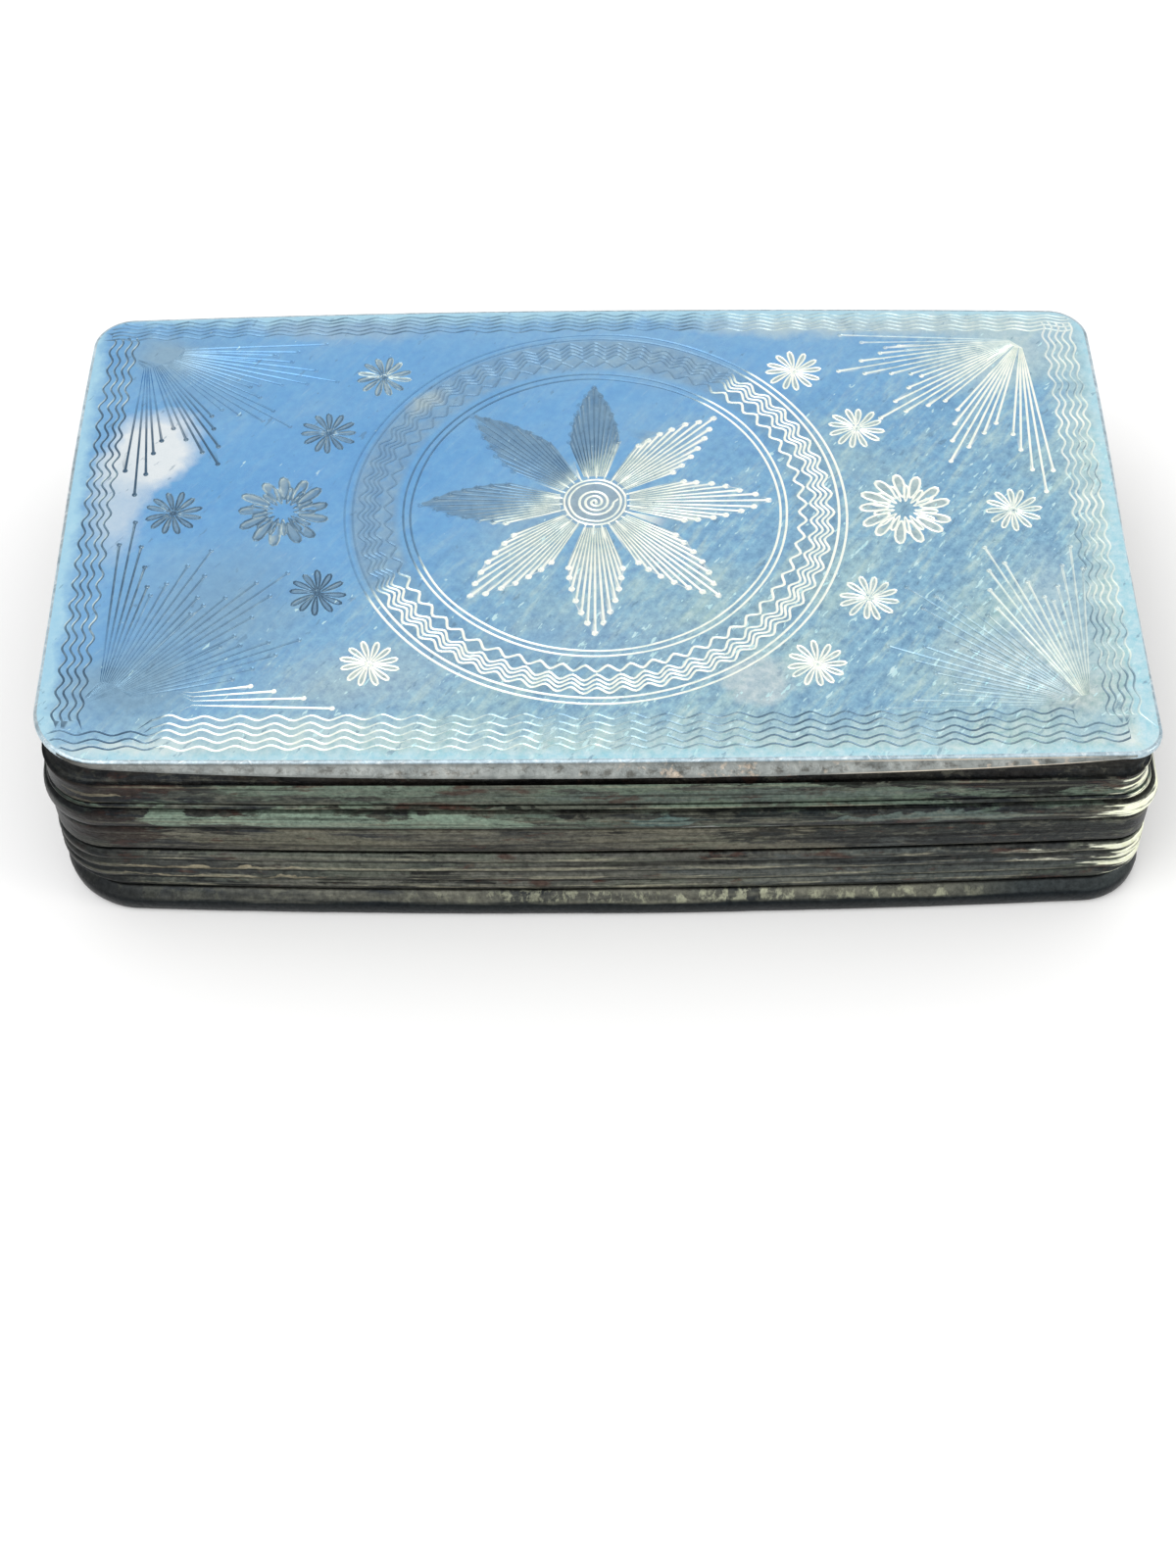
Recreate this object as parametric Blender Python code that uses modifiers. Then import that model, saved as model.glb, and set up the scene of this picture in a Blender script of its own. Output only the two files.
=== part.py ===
"""Silver snuff box with bowed sides, reeded walls, an engraved lid and a seven-knuckle hinge.

Lengths are in metres. Z is up, X runs along the front, the thumb lip is at -Y and the hinge at +Y.
The origin is the centre of the bounding box at the level of the table.
An inset is a distance inwards from the edge of the lid, measured square to that edge.
"""

import math

import bmesh
import bpy
from mathutils import Vector
from mathutils.geometry import delaunay_2d_cdt

# Plan of the lid, which every other ring follows
LID_WIDTH = 0.0800
LID_DEPTH = 0.0462
CORNER_RADIUS = 0.0026
LONG_SIDE_BOW = 0.00095
SHORT_SIDE_BOW = 0.0004
CORNER_STEPS = 6
LONG_SIDE_STEPS = 10
SHORT_SIDE_STEPS = 6

# Gap left between two pieces that touch or are soldered together
GAP = 0.0003
# How far a cutter runs past the piece that it cuts
OVERRUN = 0.0010
# Points nearer than this are one point, where a sweep closes on itself
WELD = 0.000001
SMOOTH_ANGLE = 30.0

# Base plate
PLATE_THICKNESS = 0.0008

# Foot rim, which wraps the edge of the base plate and the foot of the wall
FOOT_LIFT = 0.0002
FOOT_HEIGHT = 0.0020
FOOT_THICKNESS = 0.0008
FOOT_TOE_THICKNESS = 0.0005
FOOT_TOP_THICKNESS = 0.0004
FOOT_SECTION_SHARES = ((0.0, 0.0), (0.25, 0.75), (0.5, 1.0), (0.75, 0.75), (1.0, 0.0))

# Body wall, from its four reeds up to its plain band. Its face stands outside the edge of the lid plate.
WALL_FACE_INSET = -0.0003
WALL_THICKNESS = 0.0015
REED_COUNT = 4
REED_STEPS = 6
REED_PITCH = 0.0011
REED_PROUD = 0.00045
BODY_GROOVE_WIDTH = 0.0004
BODY_BAND_HEIGHT = 0.0027
BODY_BAND_PROUD = 0.00035
BODY_BAND_ROUND = 0.0002

# Bezel that stands up from the body into the lid
BEZEL_THICKNESS = 0.0006
BEZEL_RISE = 0.0026
BEZEL_TOP_CHAMFER = 0.00015

# Lid wall: a fine fillet over the bead, a slightly hollow band, and a cove under the lid plate
LID_HEIGHT = 0.0069
LID_BAND_PROUD = 0.0002
LID_BAND_HOLLOW = 0.00012
LID_FILLET_LIFT = 0.0001
LID_FILLET_HEIGHT = 0.0004
LID_FILLET_PROUD = 0.0003
LID_FILLET_STEPS = 4
COVE_HEIGHT = 0.0012
COVE_INSET = 0.0005
COVE_STEPS = 4

# Bead round the foot of the lid wall
BEAD_LIFT = 0.0001
BEAD_HEIGHT = 0.0018
BEAD_THICKNESS = 0.0004
BEAD_STEPS = 6

# Lid plate and its engraving
LID_PLATE_THICKNESS = 0.0007
LID_EDGE_CHAMFER = 0.00018
CUT_DEPTH = 0.00008
CUT_HALF_WIDTH = 0.00011
CUT_TOLERANCE = 0.0000001

# Rosette in the middle of the lid, sized to leave a margin behind it
ROSETTE_SIDE_SHIFT = 0.0003
ROSETTE_BACK_SHIFT = 0.0013
ROSETTE_MARGIN = 0.0027
RING_BAND_WIDTH = 0.0048
RING_STEPS = 64
WAVE_RING_HEIGHT = 0.0005
WAVE_RING_COUNT = 58
PETAL_COUNT = 8
PETAL_STROKES = 7
PETAL_MARGIN = 0.0013
PETAL_SHOULDER_SHARE = 0.57
PETAL_START_SHARE = 0.23
PETAL_HALF_ANGLE = 17.0
EYE_SHARE = 0.11
EYE_STEPS = 16

# Daisies, placed from the middle of the rosette as shares of half the lid's width and depth
LARGE_DAISY_PLACE_SHARES = ((0.5875, 0.0), (-0.5875, 0.0))
SMALL_DAISY_PLACE_SHARES = (
    (0.7825, 0.0),
    (-0.7825, 0.0),
    (0.5075, 0.30),
    (-0.5075, 0.30),
    (0.5075, -0.30),
    (-0.5075, -0.30),
    (0.4075, 0.53),
    (-0.4075, 0.53),
    (0.4075, -0.53),
    (-0.4075, -0.53),
)
LARGE_DAISY_RADIUS = 0.0034
SMALL_DAISY_RADIUS = 0.0021
DAISY_STROKES = 9
DAISY_EYE_SHARE = 0.4

# Fans in the corners of the lid
FAN_SIDE_INSET = 0.0062
FAN_END_INSET = 0.0048
FAN_GROUPS = 4
FAN_GROUP_STROKES = 3
FAN_START_RADIUS = 0.0012
FAN_STROKE_LENGTH = 0.0075
FAN_MIDDLE_EXTRA = 0.0018
FAN_START_ANGLE = 4.0
FAN_SWEEP_ANGLE = 82.0
FAN_STROKE_ANGLE = 5.0

# Waved border of the lid
BORDER_INSET = 0.0018
BORDER_WAVE_HEIGHT = 0.0003
BORDER_LONG_WAVES = 31
BORDER_SHORT_WAVES = 21

# Thumb lip
LIP_REACH = 0.0010
LIP_END_SHARE = 0.3
LIP_HALF_LENGTH = 0.0330
LIP_TOP_DROP = 0.0001
LIP_SLOPE_DROP = 0.0006
LIP_TIP_HEIGHT = 0.0004
LIP_ROOT_HEIGHT = 0.0012
LIP_STEPS = 20

# Hinge, whose axis stands outside the edge of the lid plate
HINGE_OUTSET = 0.0007
KNUCKLE_RADIUS = 0.0011
KNUCKLE_COUNT = 7
KNUCKLE_SIDES = 24
KNUCKLE_CHAMFER = 0.00012
HINGE_LENGTH = 0.0480
PIN_RADIUS = 0.0004
PIN_PLUG_LENGTH = 0.0007
BEARER_HEIGHT = 0.0012
BEARER_PROUD = 0.0005
BEARER_FACE_INSET = 0.0007
BEARER_SEAT_STEPS = 6
BEARER_CHAMFER = 0.0002

# Heights, worked up from the table
FOOT_TOP = FOOT_LIFT + FOOT_HEIGHT
REEDS_BOTTOM = FOOT_TOP + GAP
REEDS_TOP = REEDS_BOTTOM + REED_COUNT * REED_PITCH
BODY_BAND_BOTTOM = REEDS_TOP + BODY_GROOVE_WIDTH
BODY_TOP = BODY_BAND_BOTTOM + BODY_BAND_HEIGHT
LID_BOTTOM = BODY_TOP + GAP
SEAM_HEIGHT = (BODY_TOP + LID_BOTTOM) / 2
BEAD_BOTTOM = LID_BOTTOM + BEAD_LIFT
BEAD_TOP = BEAD_BOTTOM + BEAD_HEIGHT
LID_FILLET_BOTTOM = BEAD_TOP + LID_FILLET_LIFT
LID_FILLET_TOP = LID_FILLET_BOTTOM + LID_FILLET_HEIGHT
BOX_HEIGHT = LID_BOTTOM + LID_HEIGHT
LID_PLATE_BOTTOM = BOX_HEIGHT - LID_PLATE_THICKNESS

# Insets, worked in from the edge of the lid
WALL_INNER_INSET = WALL_FACE_INSET + WALL_THICKNESS
MOULDING_INSET = WALL_FACE_INSET - GAP
BODY_BAND_INSET = WALL_FACE_INSET - BODY_BAND_PROUD
LID_BAND_INSET = WALL_FACE_INSET - LID_BAND_PROUD

# The bounding box reaches from the foot rim or the tip of the lip to the back of the knuckles
FRONT_REACH = max(FOOT_THICKNESS - MOULDING_INSET, LIP_REACH + GAP)
PLAN_SHIFT = (FRONT_REACH - HINGE_OUTSET - KNUCKLE_RADIUS) / 2
HINGE_LINE = LID_DEPTH / 2 + HINGE_OUTSET + PLAN_SHIFT
RELIEF_RADIUS = KNUCKLE_RADIUS + GAP
PIN_BORE_RADIUS = PIN_RADIUS + GAP

# The rosette, worked in from its outer ring
OUTER_RING_RADIUS = LID_DEPTH / 2 - ROSETTE_BACK_SHIFT - ROSETTE_MARGIN
INNER_RING_RADIUS = OUTER_RING_RADIUS - RING_BAND_WIDTH
PETAL_TIP_RADIUS = INNER_RING_RADIUS - PETAL_MARGIN

SILVER = ((0.74, 0.76, 0.77), 0.28)
DARK_SILVER = ((0.42, 0.42, 0.40), 0.38)
GILT = ((0.83, 0.66, 0.36), 0.30)
STEEL = ((0.50, 0.50, 0.52), 0.35)


def clear_scene():
    for obj in list(bpy.data.objects):
        bpy.data.objects.remove(obj, do_unlink=True)


def new_collection(name):
    collection = bpy.data.collections.new(name)
    bpy.context.scene.collection.children.link(collection)
    return collection


def new_material(name, finish):
    colour, roughness = finish
    material = bpy.data.materials.new(name)
    material.use_nodes = True
    shader = material.node_tree.nodes["Principled BSDF"]
    shader.inputs["Base Color"].default_value = (*colour, 1.0)
    shader.inputs["Roughness"].default_value = roughness
    shader.inputs["Metallic"].default_value = 1.0
    material.diffuse_color = (*colour, 1.0)
    return material


def add_object(name, data, collection, finish=None):
    obj = bpy.data.objects.new(name, data)
    collection.objects.link(obj)
    if finish:
        data.materials.append(new_material(name, finish))
    return obj


def smooth(mesh):
    mesh.shade_smooth()
    mesh.set_sharp_from_angle(angle=math.radians(SMOOTH_ANGLE))


def new_curve(name, loops, cyclic=True):
    """A flat curve of straight pieces through one or more lists of points."""
    curve = bpy.data.curves.new(name, "CURVE")
    curve.dimensions = "2D"
    curve.fill_mode = "NONE"
    for loop in loops:
        spline = curve.splines.new("POLY")
        spline.points.add(len(loop) - 1)
        for point, spot in zip(spline.points, loop):
            point.co = (spot[0], spot[1], 0, 1)
        spline.use_cyclic_u = cyclic
    return curve


def extruded(name, outline, length, collection, finish):
    """A flat outline, thickened evenly to both sides of its plane."""
    curve = new_curve(name, [outline])
    curve.fill_mode = "BOTH"
    curve.extrude = length / 2
    return add_object(name, curve, collection, finish)


def as_mesh(obj, collection):
    """The same piece as a closed mesh, which a Boolean can cut."""
    name = obj.name
    graph = bpy.context.evaluated_depsgraph_get()
    mesh = bpy.data.meshes.new_from_object(obj.evaluated_get(graph))
    placed = obj.matrix_world.copy()
    materials = list(obj.data.materials)
    bpy.data.objects.remove(obj, do_unlink=True)
    shape = bmesh.new()
    shape.from_mesh(mesh)
    bmesh.ops.remove_doubles(shape, verts=shape.verts, dist=WELD)
    bmesh.ops.recalc_face_normals(shape, faces=shape.faces)
    shape.to_mesh(mesh)
    shape.free()
    mesh.name = name
    mesh.materials.clear()
    for material in materials:
        mesh.materials.append(material)
    smooth(mesh)
    solid = add_object(name, mesh, collection)
    solid.matrix_world = placed
    return solid


def cylinder(name, length, radius, collection, finish=None):
    """A rod that lies along the hinge's axis, centred on it."""
    mesh = bpy.data.meshes.new(name)
    shape = bmesh.new()
    bmesh.ops.create_cone(
        shape,
        cap_ends=True,
        segments=KNUCKLE_SIDES,
        radius1=radius,
        radius2=radius,
        depth=length,
    )
    shape.to_mesh(mesh)
    shape.free()
    smooth(mesh)
    obj = add_object(name, mesh, collection, finish)
    lay_on_axis(obj, 0)
    return obj


def lay_on_axis(obj, x):
    obj.location = (x, HINGE_LINE, SEAM_HEIGHT)
    obj.rotation_euler = (0, math.radians(90), 0)


def bowed(x, y):
    """The place of a point of the straight-sided plan once its sides are bowed."""
    across = x / (LID_WIDTH / 2)
    along = y / (LID_DEPTH / 2)
    return Vector((x - across * SHORT_SIDE_BOW * along**2, y - along * LONG_SIDE_BOW * across**2))


def plan_corners():
    """The straight-sided plan as four arcs, anticlockwise from the right-hand front corner."""
    arcs = []
    for turn, (side_x, side_y) in enumerate(((1, -1), (1, 1), (-1, 1), (-1, -1))):
        centre_x = side_x * (LID_WIDTH / 2 - CORNER_RADIUS)
        centre_y = side_y * (LID_DEPTH / 2 - CORNER_RADIUS)
        arc = []
        for step in range(CORNER_STEPS + 1):
            angle = math.radians(90) * (turn - 1 + step / CORNER_STEPS)
            arc.append(
                (
                    centre_x + CORNER_RADIUS * math.cos(angle),
                    centre_y + CORNER_RADIUS * math.sin(angle),
                )
            )
        arcs.append(arc)
    return arcs


def plan_outline():
    """The lid's edge as a list of points, each with the way out from it, scaled for the turn there."""
    arcs = plan_corners()
    flat = []
    for turn, arc in enumerate(arcs):
        flat.extend(arc)
        start = arc[-1]
        end = arcs[(turn + 1) % len(arcs)][0]
        steps = SHORT_SIDE_STEPS if turn % 2 == 0 else LONG_SIDE_STEPS
        for step in range(1, steps):
            share = step / steps
            flat.append((start[0] + (end[0] - start[0]) * share, start[1] + (end[1] - start[1]) * share))
    points = [bowed(x, y) for x, y in flat]
    outline = []
    for index, point in enumerate(points):
        before = (point - points[index - 1]).normalized()
        after = (points[(index + 1) % len(points)] - point).normalized()
        along = (before + after).normalized()
        outward = Vector((along.y, -along.x)) / along.dot(after)
        outline.append((point, outward))
    return outline


OUTLINE = plan_outline()


def loop_at(inset):
    """The outline moved inwards by an inset."""
    return [point - outward * inset for point, outward in OUTLINE]


def ring(name, section, collection, guides, finish):
    """A closed band whose section, in pairs of inset and height, is swept round the whole outline."""
    profile = add_object(f"{name}_section", new_curve(f"{name}_section", [section]), guides)
    band = new_curve(name, [loop_at(0)])
    band.bevel_mode = "OBJECT"
    band.bevel_object = profile
    obj = add_object(name, band, collection, finish)
    obj.location = (0, PLAN_SHIFT, 0)
    return obj


def bulge(bottom, top, low_inset, crest_inset, steps):
    """A half-round moulding as pairs of inset and height, from its foot to its head."""
    middle = (bottom + top) / 2
    half = (top - bottom) / 2
    section = []
    for step in range(steps + 1):
        angle = math.pi * step / steps
        inset = low_inset + (crest_inset - low_inset) * math.sin(angle)
        section.append((inset, middle - half * math.cos(angle)))
    return section


def base_plate(collection):
    outline = [(spot.x, spot.y) for spot in loop_at(MOULDING_INSET + GAP)]
    plate = extruded("base_plate", outline, PLATE_THICKNESS, collection, DARK_SILVER)
    plate.location = (0, PLAN_SHIFT, PLATE_THICKNESS / 2)


def foot_rim(collection, guides):
    """A rounded wire round the foot, the widest part of the box."""
    section = [(MOULDING_INSET, FOOT_LIFT)]
    for height_share, crest_share in FOOT_SECTION_SHARES:
        edge = FOOT_TOE_THICKNESS + (FOOT_TOP_THICKNESS - FOOT_TOE_THICKNESS) * height_share
        thickness = edge + (FOOT_THICKNESS - edge) * crest_share
        section.append((MOULDING_INSET - thickness, FOOT_LIFT + FOOT_HEIGHT * height_share))
    section.append((MOULDING_INSET, FOOT_TOP))
    ring("foot_rim", section, collection, guides, DARK_SILVER)


def body_side_band(collection, guides):
    """The wall of the body: reeds below and a plain band above, over a dark groove."""
    foot = PLATE_THICKNESS + GAP
    section = [(WALL_INNER_INSET, foot), (WALL_FACE_INSET, foot)]
    crest = WALL_FACE_INSET - REED_PROUD
    for reed in range(REED_COUNT):
        low = REEDS_BOTTOM + REED_PITCH * reed
        section.extend(bulge(low, low + REED_PITCH, WALL_FACE_INSET, crest, REED_STEPS)[:-1])
    section.append((WALL_FACE_INSET, REEDS_TOP))
    section.append((BODY_BAND_INSET + BODY_BAND_ROUND, BODY_BAND_BOTTOM))
    section.append((BODY_BAND_INSET, BODY_BAND_BOTTOM + BODY_BAND_ROUND))
    section.append((BODY_BAND_INSET, BODY_TOP - BODY_BAND_ROUND))
    section.append((BODY_BAND_INSET + BODY_BAND_ROUND, BODY_TOP))
    section.append((WALL_INNER_INSET, BODY_TOP))
    return ring("body_side_band", section, collection, guides, DARK_SILVER)


def bezel_liner(collection, guides):
    """The upright collar inside the body, over which the lid closes."""
    outer = WALL_INNER_INSET + GAP
    inner = outer + BEZEL_THICKNESS
    top = SEAM_HEIGHT + BEZEL_RISE
    section = [
        (inner, PLATE_THICKNESS + GAP),
        (outer, PLATE_THICKNESS + GAP),
        (outer, top - BEZEL_TOP_CHAMFER),
        (outer + BEZEL_TOP_CHAMFER, top),
        (inner, top),
    ]
    ring("bezel_liner", section, collection, guides, GILT)


def lid_side_band(collection, guides):
    fillet = bulge(
        LID_FILLET_BOTTOM,
        LID_FILLET_TOP,
        WALL_FACE_INSET,
        WALL_FACE_INSET - LID_FILLET_PROUD,
        LID_FILLET_STEPS,
    )
    band_bottom = LID_FILLET_TOP + LID_BAND_PROUD
    top = LID_PLATE_BOTTOM - GAP
    section = [(WALL_INNER_INSET, LID_BOTTOM), (WALL_FACE_INSET, LID_BOTTOM)] + fillet
    band_top = top - COVE_HEIGHT
    section.append((LID_BAND_INSET, band_bottom))
    section.append((LID_BAND_INSET + LID_BAND_HOLLOW, (band_bottom + band_top) / 2))
    for step in range(COVE_STEPS + 1):
        angle = math.radians(90) * step / COVE_STEPS
        inset = LID_BAND_INSET + (COVE_INSET - LID_BAND_INSET) * math.sin(angle)
        section.append((inset, band_top + COVE_HEIGHT * (1 - math.cos(angle))))
    section.append((WALL_INNER_INSET, top))
    return ring("lid_side_band", section, collection, guides, DARK_SILVER)


def lid_bead(collection, guides):
    crest = MOULDING_INSET - BEAD_THICKNESS
    section = bulge(BEAD_BOTTOM, BEAD_TOP, MOULDING_INSET, crest, BEAD_STEPS)
    return ring("lid_bead", section, collection, guides, DARK_SILVER)


def straight_stroke(start, end):
    """A cut that is widest and deepest in its middle, as its points, its edges and the deep points."""
    way = (end - start).normalized()
    side = Vector((-way.y, way.x)) * CUT_HALF_WIDTH
    middle = (start + end) / 2
    points = [start, middle - side, end, middle + side, middle]
    edges = [(0, 1), (1, 2), (2, 3), (3, 0), (0, 4), (4, 2)]
    return points, edges, {4}


def closed_cut(line):
    """A groove along a closed line, as its points, its edges and the deep points."""
    count = len(line)
    left = []
    right = []
    for index, point in enumerate(line):
        along = (line[(index + 1) % count] - line[index - 1]).normalized()
        side = Vector((-along.y, along.x)) * CUT_HALF_WIDTH
        left.append(point + side)
        right.append(point - side)
    edges = []
    for row in range(3):
        for index in range(count):
            edges.append((row * count + index, row * count + (index + 1) % count))
    return left + line + right, edges, set(range(count, 2 * count))


def circle(centre, radius, steps, swell=0):
    """A circle, or a zigzag about it where it swells at every other step."""
    line = []
    for step in range(steps):
        angle = 2 * math.pi * step / steps
        reach = radius + (swell if step % 2 else -swell)
        line.append(centre + Vector((math.cos(angle), math.sin(angle))) * reach)
    return line


def border_line():
    """The zigzag that runs round the lid, a set distance inside its edge."""
    corners = []
    for side_x, side_y in ((1, -1), (1, 1), (-1, 1), (-1, -1)):
        x = side_x * (LID_WIDTH / 2 - BORDER_INSET)
        y = side_y * (LID_DEPTH / 2 - BORDER_INSET)
        corners.append(Vector((x, y)))
    line = []
    for turn, corner in enumerate(corners):
        following = corners[(turn + 1) % len(corners)]
        waves = BORDER_SHORT_WAVES if turn % 2 == 0 else BORDER_LONG_WAVES
        along = (following - corner).normalized()
        inward = Vector((-along.y, along.x))
        for step in range(1, 2 * waves):
            spot = corner.lerp(following, step / (2 * waves))
            spot += inward * (BORDER_WAVE_HEIGHT if step % 2 else -BORDER_WAVE_HEIGHT)
            line.append(bowed(spot.x, spot.y))
    return line


def petal_strokes(centre):
    strokes = []
    middle = (PETAL_STROKES - 1) / 2
    for petal in range(PETAL_COUNT):
        heading = 2 * math.pi * petal / PETAL_COUNT
        for stroke in range(PETAL_STROKES):
            off_share = (stroke - middle) / middle
            angle = heading + math.radians(PETAL_HALF_ANGLE) * off_share
            reach = PETAL_TIP_RADIUS * (1 - (1 - PETAL_SHOULDER_SHARE) * abs(off_share))
            way = Vector((math.cos(angle), math.sin(angle)))
            start = centre + way * PETAL_TIP_RADIUS * PETAL_START_SHARE
            strokes.append(straight_stroke(start, centre + way * reach))
    return strokes


def daisy_strokes(centre):
    strokes = []
    for shares, radius in (
        (LARGE_DAISY_PLACE_SHARES, LARGE_DAISY_RADIUS),
        (SMALL_DAISY_PLACE_SHARES, SMALL_DAISY_RADIUS),
    ):
        for side_share, back_share in shares:
            middle = centre + Vector((side_share * LID_WIDTH, back_share * LID_DEPTH)) / 2
            for stroke in range(DAISY_STROKES):
                angle = 2 * math.pi * stroke / DAISY_STROKES
                tip = Vector((math.cos(angle), math.sin(angle))) * radius
                strokes.append(straight_stroke(middle + tip * DAISY_EYE_SHARE, middle + tip))
    return strokes


def fan_strokes():
    strokes = []
    group_angle = FAN_SWEEP_ANGLE / (FAN_GROUPS - 1)
    middle = (FAN_GROUP_STROKES - 1) / 2
    for side_x in (-1, 1):
        for side_y in (-1, 1):
            x = side_x * (LID_WIDTH / 2 - FAN_END_INSET)
            y = side_y * (LID_DEPTH / 2 - FAN_SIDE_INSET)
            for group in range(FAN_GROUPS):
                for stroke in range(FAN_GROUP_STROKES):
                    off = stroke - middle
                    degrees = FAN_START_ANGLE + group_angle * group + FAN_STROKE_ANGLE * off
                    angle = math.radians(degrees)
                    way = Vector((-side_x * math.cos(angle), -side_y * math.sin(angle)))
                    length = FAN_STROKE_LENGTH + (0 if off else FAN_MIDDLE_EXTRA)
                    start = Vector((x, y)) + way * FAN_START_RADIUS
                    strokes.append(straight_stroke(start, start + way * length))
    return strokes


def lid_plate(collection):
    """The engraved top: its face is one triangulated sheet in which every cut is a real groove."""
    centre = Vector((ROSETTE_SIDE_SHIFT, ROSETTE_BACK_SHIFT))
    between = (INNER_RING_RADIUS + OUTER_RING_RADIUS) / 2
    lines = [circle(centre, radius, RING_STEPS) for radius in (INNER_RING_RADIUS, OUTER_RING_RADIUS)]
    lines.append(circle(centre, PETAL_TIP_RADIUS * EYE_SHARE, EYE_STEPS))
    lines.append(circle(centre, between, 2 * WAVE_RING_COUNT, WAVE_RING_HEIGHT))
    lines.append(border_line())
    cuts = [closed_cut(line) for line in lines]
    cuts += petal_strokes(centre) + daisy_strokes(centre) + fan_strokes()

    rim = loop_at(LID_EDGE_CHAMFER)
    around = len(rim)
    flat = list(rim)
    edges = [(spot, (spot + 1) % around) for spot in range(around)]
    deep = set()
    for points, cut_edges, deep_points in cuts:
        first = len(flat)
        flat.extend(points)
        edges.extend((first + a, first + b) for a, b in cut_edges)
        deep.update(first + index for index in deep_points)
    spots, _, triangles, sources, _, _ = delaunay_2d_cdt(flat, edges, [], 0, CUT_TOLERANCE)
    points = []
    for spot, source in zip(spots, sources):
        drop = CUT_DEPTH if deep.intersection(source) else 0
        points.append((spot.x, spot.y + PLAN_SHIFT, BOX_HEIGHT - drop))

    edge_of = {index: spot for spot, source in enumerate(sources) for index in source if index < around}
    levels = [[edge_of[index] for index in range(around)]]
    for height in (BOX_HEIGHT - LID_EDGE_CHAMFER, LID_PLATE_BOTTOM):
        levels.append(list(range(len(points), len(points) + around)))
        points.extend((spot.x, spot.y + PLAN_SHIFT, height) for spot in loop_at(0))

    shape = bmesh.new()
    spots = [shape.verts.new(point) for point in points]
    for triangle in triangles:
        shape.faces.new([spots[corner] for corner in triangle])
    for upper, lower in zip(levels, levels[1:]):
        for index in range(around):
            quad = (upper[index - 1], upper[index], lower[index], lower[index - 1])
            shape.faces.new([spots[corner] for corner in quad])
    shape.faces.new([spots[corner] for corner in levels[-1]])
    bmesh.ops.recalc_face_normals(shape, faces=shape.faces)
    mesh = bpy.data.meshes.new("lid_plate")
    shape.to_mesh(mesh)
    shape.free()
    smooth(mesh)
    return add_object("lid_plate", mesh, collection, SILVER)


def thumb_lip(collection, guides):
    """The crescent on the front edge of the lid: one section, which shrinks towards both ends."""
    top = BOX_HEIGHT - LIP_TOP_DROP
    section = [
        (0, 0),
        (LIP_REACH, -LIP_SLOPE_DROP),
        (LIP_REACH, -LIP_SLOPE_DROP - LIP_TIP_HEIGHT),
        (0, -LIP_ROOT_HEIGHT),
    ]
    profile = add_object("thumb_lip_section", new_curve("thumb_lip_section", [section]), guides)
    offs = [2 * step / LIP_STEPS - 1 for step in range(LIP_STEPS + 1)]
    path = [bowed(LIP_HALF_LENGTH * off, -LID_DEPTH / 2) for off in offs]
    edge = new_curve("thumb_lip", [path], cyclic=False)
    for point, off in zip(edge.splines[0].points, offs):
        point.radius = LIP_END_SHARE + (1 - LIP_END_SHARE) * (1 - off**2)
    edge.bevel_mode = "OBJECT"
    edge.bevel_object = profile
    edge.use_fill_caps = True
    lip = add_object("thumb_lip", edge, collection, SILVER)
    lip.location = (0, PLAN_SHIFT - GAP, top)
    return as_mesh(lip, collection)


def knuckle_mesh(length):
    """The outline of one knuckle's wall, which the Screw modifier turns into a tube."""
    half = length / 2
    outline = [
        (PIN_BORE_RADIUS, half),
        (KNUCKLE_RADIUS - KNUCKLE_CHAMFER, half),
        (KNUCKLE_RADIUS, half - KNUCKLE_CHAMFER),
        (KNUCKLE_RADIUS, KNUCKLE_CHAMFER - half),
        (KNUCKLE_RADIUS - KNUCKLE_CHAMFER, -half),
        (PIN_BORE_RADIUS, -half),
    ]
    mesh = bpy.data.meshes.new("knuckle")
    edges = [(corner, (corner + 1) % len(outline)) for corner in range(len(outline))]
    mesh.from_pydata([(radius, 0, z) for radius, z in outline], edges, [])
    mesh.materials.append(new_material("knuckle", SILVER))
    return mesh


def knuckle(name, mesh, x, collection):
    obj = add_object(name, mesh, collection)
    lay_on_axis(obj, x)
    screw = obj.modifiers.new("Turn", "SCREW")
    screw.steps = KNUCKLE_SIDES
    screw.render_steps = KNUCKLE_SIDES
    screw.use_merge_vertices = True
    screw.merge_threshold = WELD
    screw.use_normal_calculate = True
    screw.use_smooth_shade = True
    return obj


def bearer(name, side, collection):
    """The strip that carries one side's knuckles: side is -1 below them, on the body, and 1 on the lid."""
    near = BEARER_FACE_INSET
    far = -BEARER_PROUD
    head = RELIEF_RADIUS + BEARER_HEIGHT
    section = []
    for step in range(BEARER_SEAT_STEPS + 1):
        inset = near + (far - near) * step / BEARER_SEAT_STEPS
        section.append((-side * math.sqrt(RELIEF_RADIUS**2 - inset**2), -inset))
    section.append((-side * (head - BEARER_CHAMFER), -far))
    section.append((-side * head, -(far + BEARER_CHAMFER)))
    section.append((-side * head, -near))
    strip = extruded(name, section, HINGE_LENGTH, collection, SILVER)
    lay_on_axis(strip, 0)
    return strip


def hinge_seat_cutter(collection):
    """The straight flat that is filed across the back of both walls for the bearers."""
    near = HINGE_LINE - BEARER_FACE_INSET - GAP
    far = HINGE_LINE + OVERRUN
    rise = RELIEF_RADIUS + BEARER_HEIGHT + GAP
    mesh = bpy.data.meshes.new("cut_hinge_seat")
    shape = bmesh.new()
    bmesh.ops.create_cube(shape, size=1)
    bmesh.ops.scale(shape, vec=(HINGE_LENGTH + 2 * GAP, far - near, 2 * rise), verts=shape.verts)
    shape.to_mesh(mesh)
    shape.free()
    obj = add_object("cut_hinge_seat", mesh, collection)
    obj.location = (0, (near + far) / 2, SEAM_HEIGHT)
    return obj


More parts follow.
